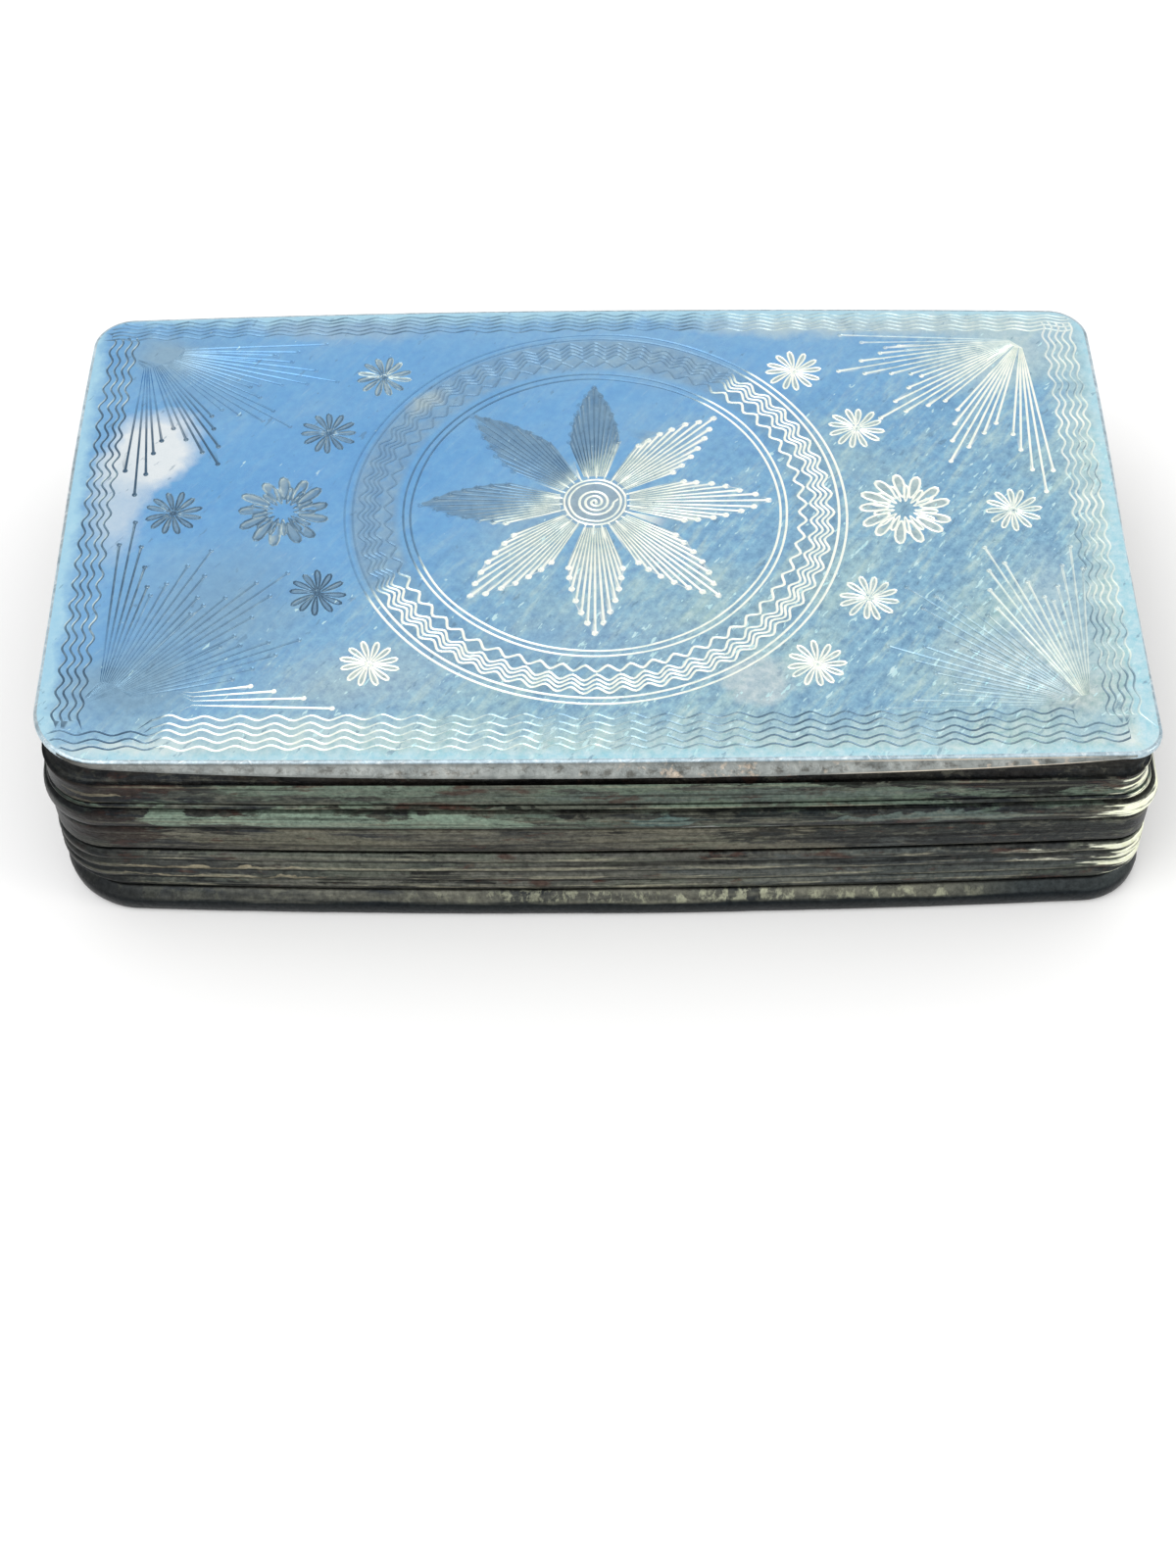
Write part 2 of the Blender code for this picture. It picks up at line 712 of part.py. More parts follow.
def cut(obj, cutter):
    modifier = obj.modifiers.new(cutter.name, "BOOLEAN")
    modifier.operation = "DIFFERENCE"
    modifier.solver = "EXACT"
    modifier.object = cutter


def hang_on(axis, pieces):
    """Parents the pieces to the hinge's axis without moving them."""
    for piece in pieces:
        piece.parent = axis
        piece.matrix_parent_inverse = axis.matrix_world.inverted()


def main():
    clear_scene()
    box = new_collection("snuff_box")
    guides = new_collection("guides_and_cutters")

    base_plate(box)
    foot_rim(box, guides)
    bezel_liner(box, guides)
    body_wall = as_mesh(body_side_band(box, guides), box)
    lid_wall = as_mesh(lid_side_band(box, guides), box)
    bead = as_mesh(lid_bead(box, guides), box)
    lid_pieces = [lid_plate(box), lid_wall, bead, thumb_lip(box, guides)]

    bearer("body_hinge_bearer", -1, box)
    lid_pieces.append(bearer("lid_hinge_bearer", 1, box))
    pitch = (HINGE_LENGTH + GAP) / KNUCKLE_COUNT
    one_knuckle = knuckle_mesh(pitch - GAP)
    for index in range(KNUCKLE_COUNT):
        on_lid = index % 2 == 1
        name = f"{'lid' if on_lid else 'body'}_knuckle_{index // 2 + 1}"
        piece = knuckle(name, one_knuckle, pitch * (index - (KNUCKLE_COUNT - 1) / 2), box)
        if on_lid:
            lid_pieces.append(piece)
    cylinder("hinge_pin", HINGE_LENGTH - 2 * (PIN_PLUG_LENGTH + GAP), PIN_RADIUS, box, STEEL)
    for side, word in ((-1, "left"), (1, "right")):
        plug = cylinder(f"pin_plug_{word}", PIN_PLUG_LENGTH, PIN_RADIUS, box, SILVER)
        lay_on_axis(plug, side * (HINGE_LENGTH - PIN_PLUG_LENGTH) / 2)

    relief = cylinder("cut_knuckle_relief", HINGE_LENGTH + 2 * GAP, RELIEF_RADIUS, guides)
    seat = hinge_seat_cutter(guides)
    for piece in (body_wall, lid_wall, bead):
        cut(piece, seat)
    for piece in (body_wall, lid_wall):
        cut(piece, relief)
    for guide in guides.objects:
        guide.hide_render = True
        guide.display_type = "WIRE"

    axis = bpy.data.objects.new("lid_hinge_axis", None)
    axis.empty_display_size = KNUCKLE_RADIUS * 2
    axis.location = (0, HINGE_LINE, SEAM_HEIGHT)
    box.objects.link(axis)
    bpy.context.view_layer.update()
    hang_on(axis, lid_pieces)


main()
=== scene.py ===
"""Looks of the silver snuff box: engraved lid, reeded tarnished sides, gilt inside and a knuckle hinge.

Lengths in the data are millimetres on the box and become metres when a mesh is made.
An inset is a distance inwards from the edge of the lid plate; a negative one is outside it.
"""

import math
from functools import partial

import bmesh
import bpy
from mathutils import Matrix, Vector, noise
from mathutils.geometry import delaunay_2d_cdt
from mathutils.kdtree import KDTree


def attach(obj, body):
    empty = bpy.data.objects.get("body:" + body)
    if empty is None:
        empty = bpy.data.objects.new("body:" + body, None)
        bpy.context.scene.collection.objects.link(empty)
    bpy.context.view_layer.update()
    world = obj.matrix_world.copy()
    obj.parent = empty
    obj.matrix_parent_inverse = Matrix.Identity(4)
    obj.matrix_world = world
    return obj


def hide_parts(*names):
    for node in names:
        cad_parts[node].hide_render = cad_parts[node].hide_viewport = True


MM = 0.001
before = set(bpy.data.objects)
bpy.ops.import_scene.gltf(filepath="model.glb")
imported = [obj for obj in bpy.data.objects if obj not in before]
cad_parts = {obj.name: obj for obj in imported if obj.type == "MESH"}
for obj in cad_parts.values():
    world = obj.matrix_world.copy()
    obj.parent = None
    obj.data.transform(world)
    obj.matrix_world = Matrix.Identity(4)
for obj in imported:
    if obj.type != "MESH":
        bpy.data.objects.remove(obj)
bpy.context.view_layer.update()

# Heights and hinge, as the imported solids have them
LID_WIDTH, LID_DEPTH = 80.0, 46.2
PLAN_SHIFT = -0.2
HINGE_Y, HINGE_Z = 23.6, 10.15
TOP = 17.2
PLATE_BOTTOM = 16.5
BODY_TOP, LID_BOTTOM = 10.05, 10.24
INNER_PLAN_HEIGHT = 8.0

# How the worn box departs from its straight-sided plan, as stops of height and value:
# the bow of the long sides, how far the short sides draw in towards the front, the front
# corners' radii, and what the lid plate has over at its sides and back
FRONT_BOW = ((0.0, 0.95), (10.0, 0.78), (15.0, 0.45), (TOP, 0.32))
LEFT_BACK_BOW = ((14.8, 0.95), (16.4, 0.85))
RIGHT_BACK_BOW = ((14.8, 0.95), (16.4, 0.60))
BACK_SIDE_BOW = 0.5
LEFT_DRAW = ((2.6, 1.50), (3.4, 0.80), (14.8, 0.75), (16.4, -0.20))
RIGHT_DRAW = ((2.6, 0.05), (3.4, -0.30), (11.5, -0.30), (13.5, 0.35), (14.8, 0.35), (16.4, -0.65))
LEFT_CORNER = ((2.6, 4.0), (3.4, 3.3), (14.8, 3.3), (16.4, 5.2))
RIGHT_CORNER = ((2.6, 3.1), (3.4, 1.9), (14.8, 1.9), (16.4, 2.4))
BACK_CORNER = 2.9
PLATE_SPREAD = ((14.8, 0.0), (16.4, 0.25))
PLATE_BACK_REACH = ((14.8, 0.0), (16.4, 0.30))


# Plan


def between(place, stops):
    """Straight-line values between stops of place and value."""
    for (low, a), (high, b) in zip(stops, stops[1:]):
        if place < high:
            return a + (b - a) * max(0.0, (place - low) / (high - low))
    return stops[-1][1]


def held(value, low=0.0, high=1.0):
    """The value, kept between a low and a high end."""
    return max(low, min(high, value))


def smooth_noise(a, b, c):
    """Smooth noise between about -1 and 1."""
    return noise.noise(Vector((a, b, c)))


def corner_radius(side_x, side_y, z):
    """The radius of one corner of the outline at a height."""
    if side_y > 0:
        return BACK_CORNER
    return between(z, RIGHT_CORNER if side_x > 0 else LEFT_CORNER)


def bowed(x, y, z=TOP):
    """The place of a point of the straight-sided plan on the real, bowed one."""
    across, along = x / (LID_WIDTH / 2), y / (LID_DEPTH / 2)
    if y > 0:
        draw = BACK_SIDE_BOW * along**2
        bow = between(z, RIGHT_BACK_BOW if x > 0 else LEFT_BACK_BOW)
        reach = between(z, PLATE_BACK_REACH)
    else:
        draw = between(z, RIGHT_DRAW if x > 0 else LEFT_DRAW) * abs(along) ** 1.5
        bow = between(z, FRONT_BOW)
        reach = 0.0
    spread = between(z, PLATE_SPREAD)
    return Vector((x - across * (draw - spread), y - along * (bow * across**2 - reach)))


def loop_at(inset, z, corner_steps=14, long_steps=72, short_steps=40):
    """The outline at a height, moved inwards by an inset, anticlockwise from the right-hand front corner."""
    half_x, half_y = LID_WIDTH / 2 - inset, LID_DEPTH / 2 - inset
    arcs = []
    for turn, (side_x, side_y) in enumerate(((1, -1), (1, 1), (-1, 1), (-1, -1))):
        radius = max(0.35, corner_radius(side_x, side_y, z) - inset)
        arc = []
        for step in range(corner_steps + 1):
            angle = math.pi / 2 * (turn - 1 + step / corner_steps)
            x = side_x * (half_x - radius) + radius * math.cos(angle)
            y = side_y * (half_y - radius) + radius * math.sin(angle)
            arc.append(Vector((x, y)))
        arcs.append(arc)
    loop = []
    for turn, arc in enumerate(arcs):
        loop.extend(arc)
        start, end = arc[-1], arcs[(turn + 1) % 4][0]
        steps = long_steps if turn % 2 else short_steps
        for step in range(1, steps):
            loop.append(start.lerp(end, step / steps))
    return [bowed(spot.x, spot.y, z) for spot in loop]


def inside(x, y, margin):
    """Whether a point of the straight-sided plan is on the plate, a margin from its edge."""
    radius = corner_radius(x, y, TOP)
    dx = abs(x) - (LID_WIDTH / 2 - radius)
    dy = abs(y) - (LID_DEPTH / 2 - radius)
    if dx > 0 and dy > 0:
        return math.hypot(dx, dy) < radius - margin
    return max(dx, dy) < radius - margin


def front_edge(x):
    """The point of the plate's front edge at a place along it, round the corners too."""
    radius = corner_radius(x, -1, TOP)
    past = max(0.0, abs(x) - (LID_WIDTH / 2 - radius))
    y = radius - LID_DEPTH / 2 - math.sqrt(max(0.0, radius**2 - past**2))
    return bowed(x, y)


# Meshes


def finish_mesh(name, shape, materials, sharp=35.0, smooth=True):
    """Makes an object of a bmesh and frees the bmesh."""
    bmesh.ops.recalc_face_normals(shape, faces=shape.faces)
    mesh = bpy.data.meshes.new(name)
    shape.to_mesh(mesh)
    shape.free()
    for material in materials:
        mesh.materials.append(material)
    if smooth:
        mesh.shade_smooth()
        mesh.set_sharp_from_angle(angle=math.radians(sharp))
    piece = bpy.data.objects.new(name, mesh)
    bpy.context.scene.collection.objects.link(piece)
    return piece


def place(piece, body, slot, *nodes):
    """Lets a piece ride on a body in place of its CAD nodes."""
    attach(piece, body)
    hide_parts(*nodes)


def worn_shape():
    """An empty bmesh whose vertices keep a value of wear."""
    shape = bmesh.new()
    shape.verts.layers.float.new("wear")
    return shape


def add_row(shape, points, layer="wear"):
    """A row of new vertices. Its points are x, y, height and the value kept in a layer."""
    kept = shape.verts.layers.float[layer]
    row = []
    for x, y, z, value in points:
        vert = shape.verts.new((x * MM, y * MM, z * MM))
        vert[kept] = value
        row.append(vert)
    return row


def join_rows(shape, rows, material_of_row):
    """Faces between neighbouring rows of vertices, each a closed loop."""
    for row, following, material in zip(rows, rows[1:], material_of_row):
        for index in range(len(row)):
            after = (index + 1) % len(row)
            face = shape.faces.new((row[index], row[after], following[after], following[index]))
            face.material_index = material


def lofted(name, stations, materials, sharp=35.0, material_of_row=None):
    """A closed mesh through rows of points, with a flat face at each end."""
    shape = worn_shape()
    rows = [add_row(shape, points) for points in stations]
    numbers = material_of_row or [0] * len(rows)
    join_rows(shape, rows, numbers)
    for end in (0, -1):
        shape.faces.new(rows[end]).material_index = numbers[end]
    return finish_mesh(name, shape, materials, sharp)


def ring(name, section, materials, worn=0.03):
    """Sweeps a closed section round the plan.

    Its points are inset, height, wear and the number of the material, where that isn't the first.
    """
    shape = worn_shape()
    rows = []
    for inset, z, rubbed, *_ in section:
        points = []
        for spot in loop_at(inset, z if inset < 1 else INNER_PLAN_HEIGHT):
            drift = smooth_noise(spot.x * 0.09, spot.y * 0.09, z * 0.35 + 7.0) * worn
            drift += smooth_noise(spot.x * 0.45, spot.y * 0.45, z * 0.8 + 3.0) * worn * 0.5
            out = spot + spot.normalized() * drift
            points.append((out.x, out.y + PLAN_SHIFT, z, rubbed))
        rows.append(add_row(shape, points))
    rows.append(rows[0])
    join_rows(shape, rows, [point[3] if len(point) > 3 else 0 for point in section])
    return finish_mesh(name, shape, materials)


def bulge(bottom, top, low_inset, crest_inset, steps, power=1.0):
    """The section of a rounded moulding from its foot to its head, worn most on its crest."""
    points = []
    for step in range(steps + 1):
        angle = math.pi * step / steps
        swell = math.sin(angle) ** power
        z = (bottom + top) / 2 - (top - bottom) / 2 * math.cos(angle)
        points.append((low_inset + (crest_inset - low_inset) * swell, z, swell**2))
    return points


def cut_away(piece, cutter):
    """Takes the cutter's volume out of a piece."""
    modifier = piece.modifiers.new("cut", "BOOLEAN")
    modifier.operation = "DIFFERENCE"
    modifier.solver = "EXACT"
    modifier.object = cutter
    graph = bpy.context.evaluated_depsgraph_get()
    mesh = bpy.data.meshes.new_from_object(piece.evaluated_get(graph))
    piece.modifiers.clear()
    old = piece.data
    piece.data = mesh
    mesh.name = old.name
    bpy.data.meshes.remove(old)


def box_cutter(low, high):
    """A block between two corners, to cut with."""
    shape = bmesh.new()
    bmesh.ops.create_cube(shape, size=1)
    size = [(b - a) * MM for a, b in zip(low, high)]
    middle = [(a + b) / 2 * MM for a, b in zip(low, high)]
    bmesh.ops.scale(shape, vec=size, verts=shape.verts)
    bmesh.ops.translate(shape, vec=middle, verts=shape.verts)
    return finish_mesh("cutter", shape, [], smooth=False)


def rod_along_x(name, profile, x, materials, sides=40):
    """Turns a profile of distances along X and radii about the hinge's axis."""
    stations = []
    for along, radius in profile:
        points = []
        for side in range(sides):
            angle = 2 * math.pi * side / sides
            y = HINGE_Y + radius * math.cos(angle)
            z = HINGE_Z + radius * math.sin(angle)
            points.append((x + along, y, z, 0.5))
        stations.append(points)
    return lofted(name, stations, materials)


# Material helper

# Millimetres by which a shift of 1 moves a pattern
PATTERN_LENGTH = 20


class Metal:
    """A metal material while it is made. Patterns are in millimetres on the box."""

    def __init__(self, name):
        self.material = bpy.data.materials.new(name)
        self.material.use_nodes = True
        self.tree = self.material.node_tree
        self.tree.nodes.clear()
        out = self.tree.nodes.new("ShaderNodeOutputMaterial")
        self.shader = self.tree.nodes.new("ShaderNodeBsdfPrincipled")
        self.tree.links.new(self.shader.outputs[0], out.inputs[0])
        self.colour = None

    def put(self, socket, value):
        """Links a socket or sets its constant."""
        if isinstance(value, bpy.types.NodeSocket):
            self.tree.links.new(value, socket)
            return
        if hasattr(socket.default_value, "__len__"):
            if not hasattr(value, "__len__"):
                value = [value] * len(socket.default_value)
            if len(value) == 3 and len(socket.default_value) == 4:
                value = (*value, 1.0)
        socket.default_value = value

    def node(self, kind, inputs=None, **settings):
        """A node of a kind with its inputs and settings."""
        made = self.tree.nodes.new(kind)
        for key, value in settings.items():
            setattr(made, key, value)
        for key, value in (inputs or {}).items():
            self.put(made.inputs[key], value)
        return made

    def chain(self, operation, values):
        """The values joined one after another by an operation."""
        result = values[0]
        for value in values[1:]:
            result = self.node("ShaderNodeMath", {0: result, 1: value}, operation=operation).outputs[0]
        return result

    def sum(self, *values):
        """The values added up."""
        return self.chain("ADD", values)

    def times(self, *values):
        """The values multiplied."""
        return self.chain("MULTIPLY", values)

    def distance(self, a, b):
        """How far apart two numbers are."""
        gap = self.chain("SUBTRACT", (a, b))
        return self.node("ShaderNodeMath", {0: gap}, operation="ABSOLUTE").outputs[0]

    def least(self, *values):
        """The smallest of the values."""
        return self.chain("MINIMUM", values)

    def most(self, *values):
        """The largest of the values."""
        return self.chain("MAXIMUM", values)

    def swing(self, value, amount):
        """A noise of about one half as a swing both ways about zero."""
        return self.times(self.sum(value, -0.5), amount)

    def blend(self, share, below, above, how="MIX"):
        """One colour over another."""
        made = self.node("ShaderNodeMix", data_type="RGBA", blend_type=how)
        self.put(made.inputs[0], share)
        self.put(made.inputs[6], below)
        self.put(made.inputs[7], above)
        return made.outputs[2]

    def tint(self, share, colour, strength=1.0):
        """Lays a colour over what the metal has so far. The strength is a number or a pattern."""
        if strength != 1.0:
            share = self.times(share, strength)
        self.colour = self.blend(share, self.colour, colour)

    def stain(self, value, low, high, colour, strength=1.0):
        """Lays a colour over the metal where a value rises from low to high."""
        self.tint(self.rise(value, low, high), colour, strength)

    def ramp(self, value, *stops):
        """Stops are place and value, or place and colour."""
        made = self.node("ShaderNodeValToRGB", {0: value})
        elements = made.color_ramp.elements
        while len(elements) < len(stops):
            elements.new(0.5)
        for element, (spot, colour) in zip(elements, stops):
            element.position = spot
            if not hasattr(colour, "__len__"):
                colour = (colour, colour, colour)
            element.color = (*colour, 1.0)
        return made.outputs[0]

    def rise(self, value, low, high):
        """Goes from 0 at low to 1 at high. Where low is the larger of the two, it falls."""
        return self.ramp(value, *sorted(((low, 0.0), (high, 1.0))))

    def at(self, scale=(1, 1, 1), shift=(0, 0, 0), turn=0.0):
        """Object coordinates in millimetres, shifted by pattern lengths, turned about Z and scaled."""
        if not hasattr(scale, "__len__"):
            scale = (scale, scale, scale)
        where = self.node("ShaderNodeTexCoord").outputs["Object"]
        made = self.node("ShaderNodeMapping", {"Vector": where}, vector_type="TEXTURE")
        made.inputs["Location"].default_value = [s * PATTERN_LENGTH * MM for s in shift]
        made.inputs["Rotation"].default_value = (0, 0, turn)
        made.inputs["Scale"].default_value = [MM / s for s in scale]
        return made.outputs[0]

    def warped(self, vector, amount, scale):
        """The vector, moved about by noise."""
        made = self.node("ShaderNodeTexNoise", {"Vector": vector, "Scale": scale, "Detail": 3.0})
        centred = self.vectors("SUBTRACT", {0: made.outputs[1], 1: (0.5, 0.5, 0.5)})
        moved = self.vectors("SCALE", {0: centred, "Scale": amount})
        return self.vectors("ADD", {0: vector, 1: moved})

    def vectors(self, operation, inputs, output=0):
        """What an operation makes of vectors."""
        return self.node("ShaderNodeVectorMath", inputs, operation=operation).outputs[output]

    def cloud(self, scale, shift=(0, 0, 0), turn=0.0, warp=None, detail=5.0, rough=0.6):
        """Noise with so many features to the millimetre, the same or its own each way.

        A warp is its amount and scale.
        """
        vector = self.at(scale, shift, turn)
        if warp:
            vector = self.warped(vector, *warp)
        inputs = {"Vector": vector, "Scale": 1.0, "Detail": detail, "Roughness": rough}
        return self.node("ShaderNodeTexNoise", inputs).outputs[0]

    def spot(self, vector, centre, radii, turn=0.0, edge=(0.25, 0.6)):
        """A soft-edged oval patch in plan, 1 inside and 0 outside."""
        moved = self.node("ShaderNodeMapping", {"Vector": vector}, vector_type="TEXTURE")
        moved.inputs["Location"].default_value = (*centre, 0)
        moved.inputs["Rotation"].default_value = (0, 0, turn)
        moved.inputs["Scale"].default_value = (*radii, 1e4)
        ball = self.node(
            "ShaderNodeTexGradient", {"Vector": moved.outputs[0]}, gradient_type="SPHERICAL"
        )
        return self.ramp(ball.outputs["Fac"], (edge[0], 0.0), (edge[1], 1.0))

    def axes(self, vector):
        """The three parts of a vector."""
        return self.node("ShaderNodeSeparateXYZ", {0: vector}).outputs

    def across(self, vector):
        """The place across the box, 0 at its left and 1 at its right."""
        return self.sum(self.times(self.axes(vector)[0], 1 / LID_WIDTH), 0.5)

    def near_front(self, depth, full, none):
        """1 along the front and 0 behind it, by the depth in millimetres."""
        return self.rise(self.sum(self.times(depth, 0.02), 0.5), none, full)

    def vertex(self, name):
        """A value kept at the vertices."""
        return self.node("ShaderNodeAttribute", attribute_name=name, attribute_type="GEOMETRY").outputs["Fac"]

    def speckle(self, scale, share, dark, light):
        """Fine dark and light grains over the colour."""
        grains = self.cloud(scale, detail=4.0, rough=0.7)
        colours = self.ramp(grains, (0.32, dark), (0.68, light))
        self.colour = self.blend(share, self.colour, colours, "OVERLAY")
        return grains

    def finish(self, roughness, height, depth):
        """Sets the shader and gives back the material. The depth is that of the bump."""
        made = self.node("ShaderNodeBump", {"Height": height})
        made.inputs["Distance"].default_value = depth * MM
        self.put(self.shader.inputs["Base Color"], self.colour)
        self.shader.inputs["Metallic"].default_value = 1.0
        self.put(self.shader.inputs["Roughness"], roughness)
        self.put(self.shader.inputs["Normal"], made.outputs[0])
        return self.material


# Lid material

CENTRE = Vector((0.32, 1.32))
EYE = Vector((0.29, 2.10))
BAND_RADIUS = 16.9
WHITE_GREEN = (0.62, 0.86, 0.88)

# Painted reflections of sky and cloud that mottle the lid, with a painted highlight at its front right-hand
# corner: place, radii, turn, edge, share and colour of each patch
LID_REFLECTION_PATCHES = (
    ((-34.4, 7.6), (5.2, 6.6), -0.45, (0.20, 0.55), 0.95, (0.80, 0.84, 0.85)),
    ((-36.2, 2.4), (3.2, 8.0), 0.0, (0.15, 0.65), 0.70, (0.62, 0.71, 0.78)),
    ((-19.5, 21.7), (11.0, 3.0), 0.0, (0.15, 0.60), 0.55, (0.38, 0.50, 0.60)),
    ((-31.5, 16.5), (9.0, 6.0), -0.7, (0.15, 0.70), 0.45, (0.23, 0.38, 0.52)),
    ((-33.5, 18.0), (5.0, 3.0), -0.4, (0.10, 0.70), 0.60, (0.32, 0.44, 0.51)),
    ((-28.0, -8.5), (11.0, 9.5), 0.7, (0.10, 0.80), 0.60, (0.24, 0.38, 0.50)),
    ((-33.5, -16.0), (7.0, 5.0), 0.2, (0.10, 0.70), 0.70, (0.23, 0.35, 0.44)),
    ((-33.0, -21.9), (7.5, 1.2), 0.0, (0.10, 0.60), 0.70, (0.80, 0.88, 0.86)),
    ((-20.0, -20.6), (13.0, 2.6), 0.0, (0.10, 0.70), 0.55, (0.56, 0.68, 0.66)),
    ((-16.5, -15.5), (10.0, 4.5), 0.1, (0.10, 0.70), 0.60, (0.40, 0.52, 0.58)),
    ((-3.5, 1.0), (6.5, 4.5), 0.5, (0.10, 0.75), 0.50, (0.30, 0.43, 0.53)),
    ((0.3, 1.9), (3.1, 3.1), 0.0, (0.08, 0.30), 0.65, (0.38, 0.44, 0.45)),
    ((-12.9, 12.6), (2.6, 1.2), 0.8, (0.15, 0.70), 0.85, (0.60, 0.68, 0.64)),
    ((12.0, -15.8), (4.2, 3.2), 0.0, (0.25, 0.50), 0.80, (0.53, 0.61, 0.63)),
    ((31.5, -15.2), (8.5, 5.0), -0.3, (0.10, 0.65), 0.75, (0.50, 0.59, 0.59)),
    ((34.8, -17.2), (3.6, 2.4), 0.0, (0.10, 0.70), 0.70, (0.52, 0.58, 0.54)),
    ((34.0, -10.0), (4.5, 9.0), 0.0, (0.10, 0.70), 0.55, (0.52, 0.64, 0.67)),
    ((39.2, -21.6), (3.2, 2.2), 0.0, (0.20, 0.70), 0.95, (1.00, 1.00, 0.96)),
    ((32.5, 17.5), (8.0, 4.5), 0.4, (0.10, 0.70), 0.70, (0.56, 0.67, 0.66)),
    ((24.0, 21.5), (22.0, 2.6), 0.0, (0.12, 0.60), 0.75, (0.54, 0.64, 0.64)),
    ((6.0, 17.0), (10.0, 5.0), -0.4, (0.15, 0.80), 0.30, (0.30, 0.44, 0.57)),
    ((0.0, -12.0), (14.0, 4.0), 0.0, (0.10, 0.80), 0.35, (0.27, 0.41, 0.56)),
    ((-12.0, 17.5), (14.0, 6.0), 0.3, (0.10, 0.90), 0.55, (0.17, 0.39, 0.68)),
    ((-21.0, 5.0), (9.0, 8.0), 0.0, (0.10, 0.90), 0.45, (0.175, 0.39, 0.69)),
)


def painted_sky_reflection(metal):
    """The blue of a painted reflection of the sky in the polish, and a paler, streaked painted reflection
    towards the front right.
    """
    broad = metal.cloud((0.05, 0.07, 0.05))
    metal.colour = metal.ramp(
        broad, (0.30, (0.15, 0.37, 0.67)), (0.52, (0.185, 0.41, 0.70)), (0.75, (0.25, 0.46, 0.69))
    )
    x, y, _ = metal.axes(metal.warped(metal.at(), 9.0, 0.10))
    slope = metal.sum(metal.times(x, 0.013), metal.times(y, -0.022), 0.5)
    # rubbed is not wear: it marks where the painted sky reflection turns paler, towards the front right.
    rubbed = metal.ramp(slope, (0.30, 0.0), (0.55, 0.55), (0.90, 1.0))
    metal.tint(rubbed, (0.325, 0.475, 0.50), 0.55)
    strength = metal.sum(metal.times(rubbed, 0.55), 0.10)
    haze = metal.cloud((0.09, 0.16, 0.10), turn=0.6, detail=6.0)
    metal.stain(haze, 0.46, 0.66, (0.455, 0.595, 0.555), strength)
    streaks = metal.cloud((0.22, 1.20, 1.0), turn=0.95, warp=(0.8, 0.5), detail=6.0, rough=0.68)
    metal.stain(streaks, 0.50, 0.68, (0.565, 0.705, 0.64), strength)
    dark = metal.times(metal.rise(streaks, 0.48, 0.34), strength)
    metal.tint(dark, (0.16, 0.30, 0.45), 0.8)
    return rubbed, haze


def pale_margin_reflection(metal, rubbed):
    """The plate is painted paler along its edges as reflection, with a brighter painted highlight line at the
    very edge.
    """
    x, y, _ = metal.axes(metal.at())
    across = metal.distance(metal.distance(x, 0.0), LID_WIDTH / 2)
    deep = metal.distance(metal.distance(y, PLAN_SHIFT), LID_DEPTH / 2)
    uneven = metal.swing(metal.cloud((0.45, 0.45, 0.3), rough=0.65), 0.5)
    off = metal.sum(metal.times(metal.least(across, deep), 0.2), uneven)
    strength = metal.sum(metal.times(rubbed, 0.65), 0.10)
    metal.stain(off, 0.95, 0.15, (0.59, 0.73, 0.68), strength)
    metal.stain(off, 0.30, 0.10, (0.48, 0.75, 0.86), 0.70)


def ring_and_petals(metal, tone):
    """The dulled band of the double ring and the ground of the rosette's petals; the ground is slate as
    painted shade where the tone is low and paler, as painted light, where it is high.
    """
    middle = (CENTRE.x, CENTRE.y + PLAN_SHIFT, TOP)
    reach = metal.vectors("DISTANCE", {0: metal.at(), 1: middle}, "Value")
    # The slate side of the lid is painted shade, the cream side painted light.
    shaded_side = metal.rise(tone, 0.70, 0.25)
    mottled = metal.cloud(0.7, (0.1, 0.4, 0), rough=0.65)
    band = metal.rise(metal.times(metal.distance(reach, BAND_RADIUS), 0.25), 0.50, 0.36)
    ring_tint = metal.ramp(mottled, (0.35, (0.20, 0.31, 0.43)), (0.65, (0.34, 0.45, 0.50)))
    metal.tint(metal.times(band, shaded_side), ring_tint, 0.55)
    bright_band = metal.ramp(tone, (0.45, 0.0), (0.80, 0.40))
    metal.tint(metal.times(band, bright_band), (0.21, 0.33, 0.42))
    dull = metal.ramp(mottled, (0.3, (0.14, 0.25, 0.38)), (0.7, (0.22, 0.34, 0.44)))
    lit_ground = metal.ramp(mottled, (0.3, (0.33, 0.44, 0.47)), (0.7, (0.60, 0.66, 0.59)))
    uneven = metal.ramp(mottled, (0.25, 0.65), (0.6, 1.0))
    shown = metal.ramp(metal.times(metal.vertex("fill"), uneven), (0.10, 0.0), (0.75, 0.85))
    metal.tint(shown, metal.blend(shaded_side, lit_ground, dull))


def flecks_and_scratches(metal, rubbed):
    """Bright nicks and hair scratches, thicker towards the front right."""
    flecks = metal.cloud((0.70, 2.1, 1.0), (0.2, 0.2, 0), 0.95, (0.5, 0.9), 2.5)
    metal.stain(metal.sum(flecks, metal.times(rubbed, 0.09)), 0.725, 0.755, WHITE_GREEN, 0.80)
    dark_nicks = metal.cloud((0.60, 1.6, 1.0), (0.7, 0.3, 0), 0.95, (0.5, 0.9), 3.0)
    metal.stain(metal.sum(dark_nicks, metal.times(rubbed, 0.02)), 0.66, 0.70, (0.14, 0.23, 0.32), 0.45)
    hair = metal.cloud((0.5, 7.0, 1.0), turn=0.9, warp=(0.6, 0.4), detail=2.0)
    metal.stain(hair, 0.66, 0.74, (0.62, 0.74, 0.80), 0.18)
    grain = metal.cloud(1.5, detail=6.0, rough=0.75)
    grains = metal.ramp(grain, (0.32, (0.12, 0.18, 0.25)), (0.68, (0.86, 0.90, 0.90)))
    share = metal.sum(metal.times(rubbed, 0.30), 0.12)
    metal.colour = metal.blend(share, metal.colour, grains, "OVERLAY")
    return hair, grain


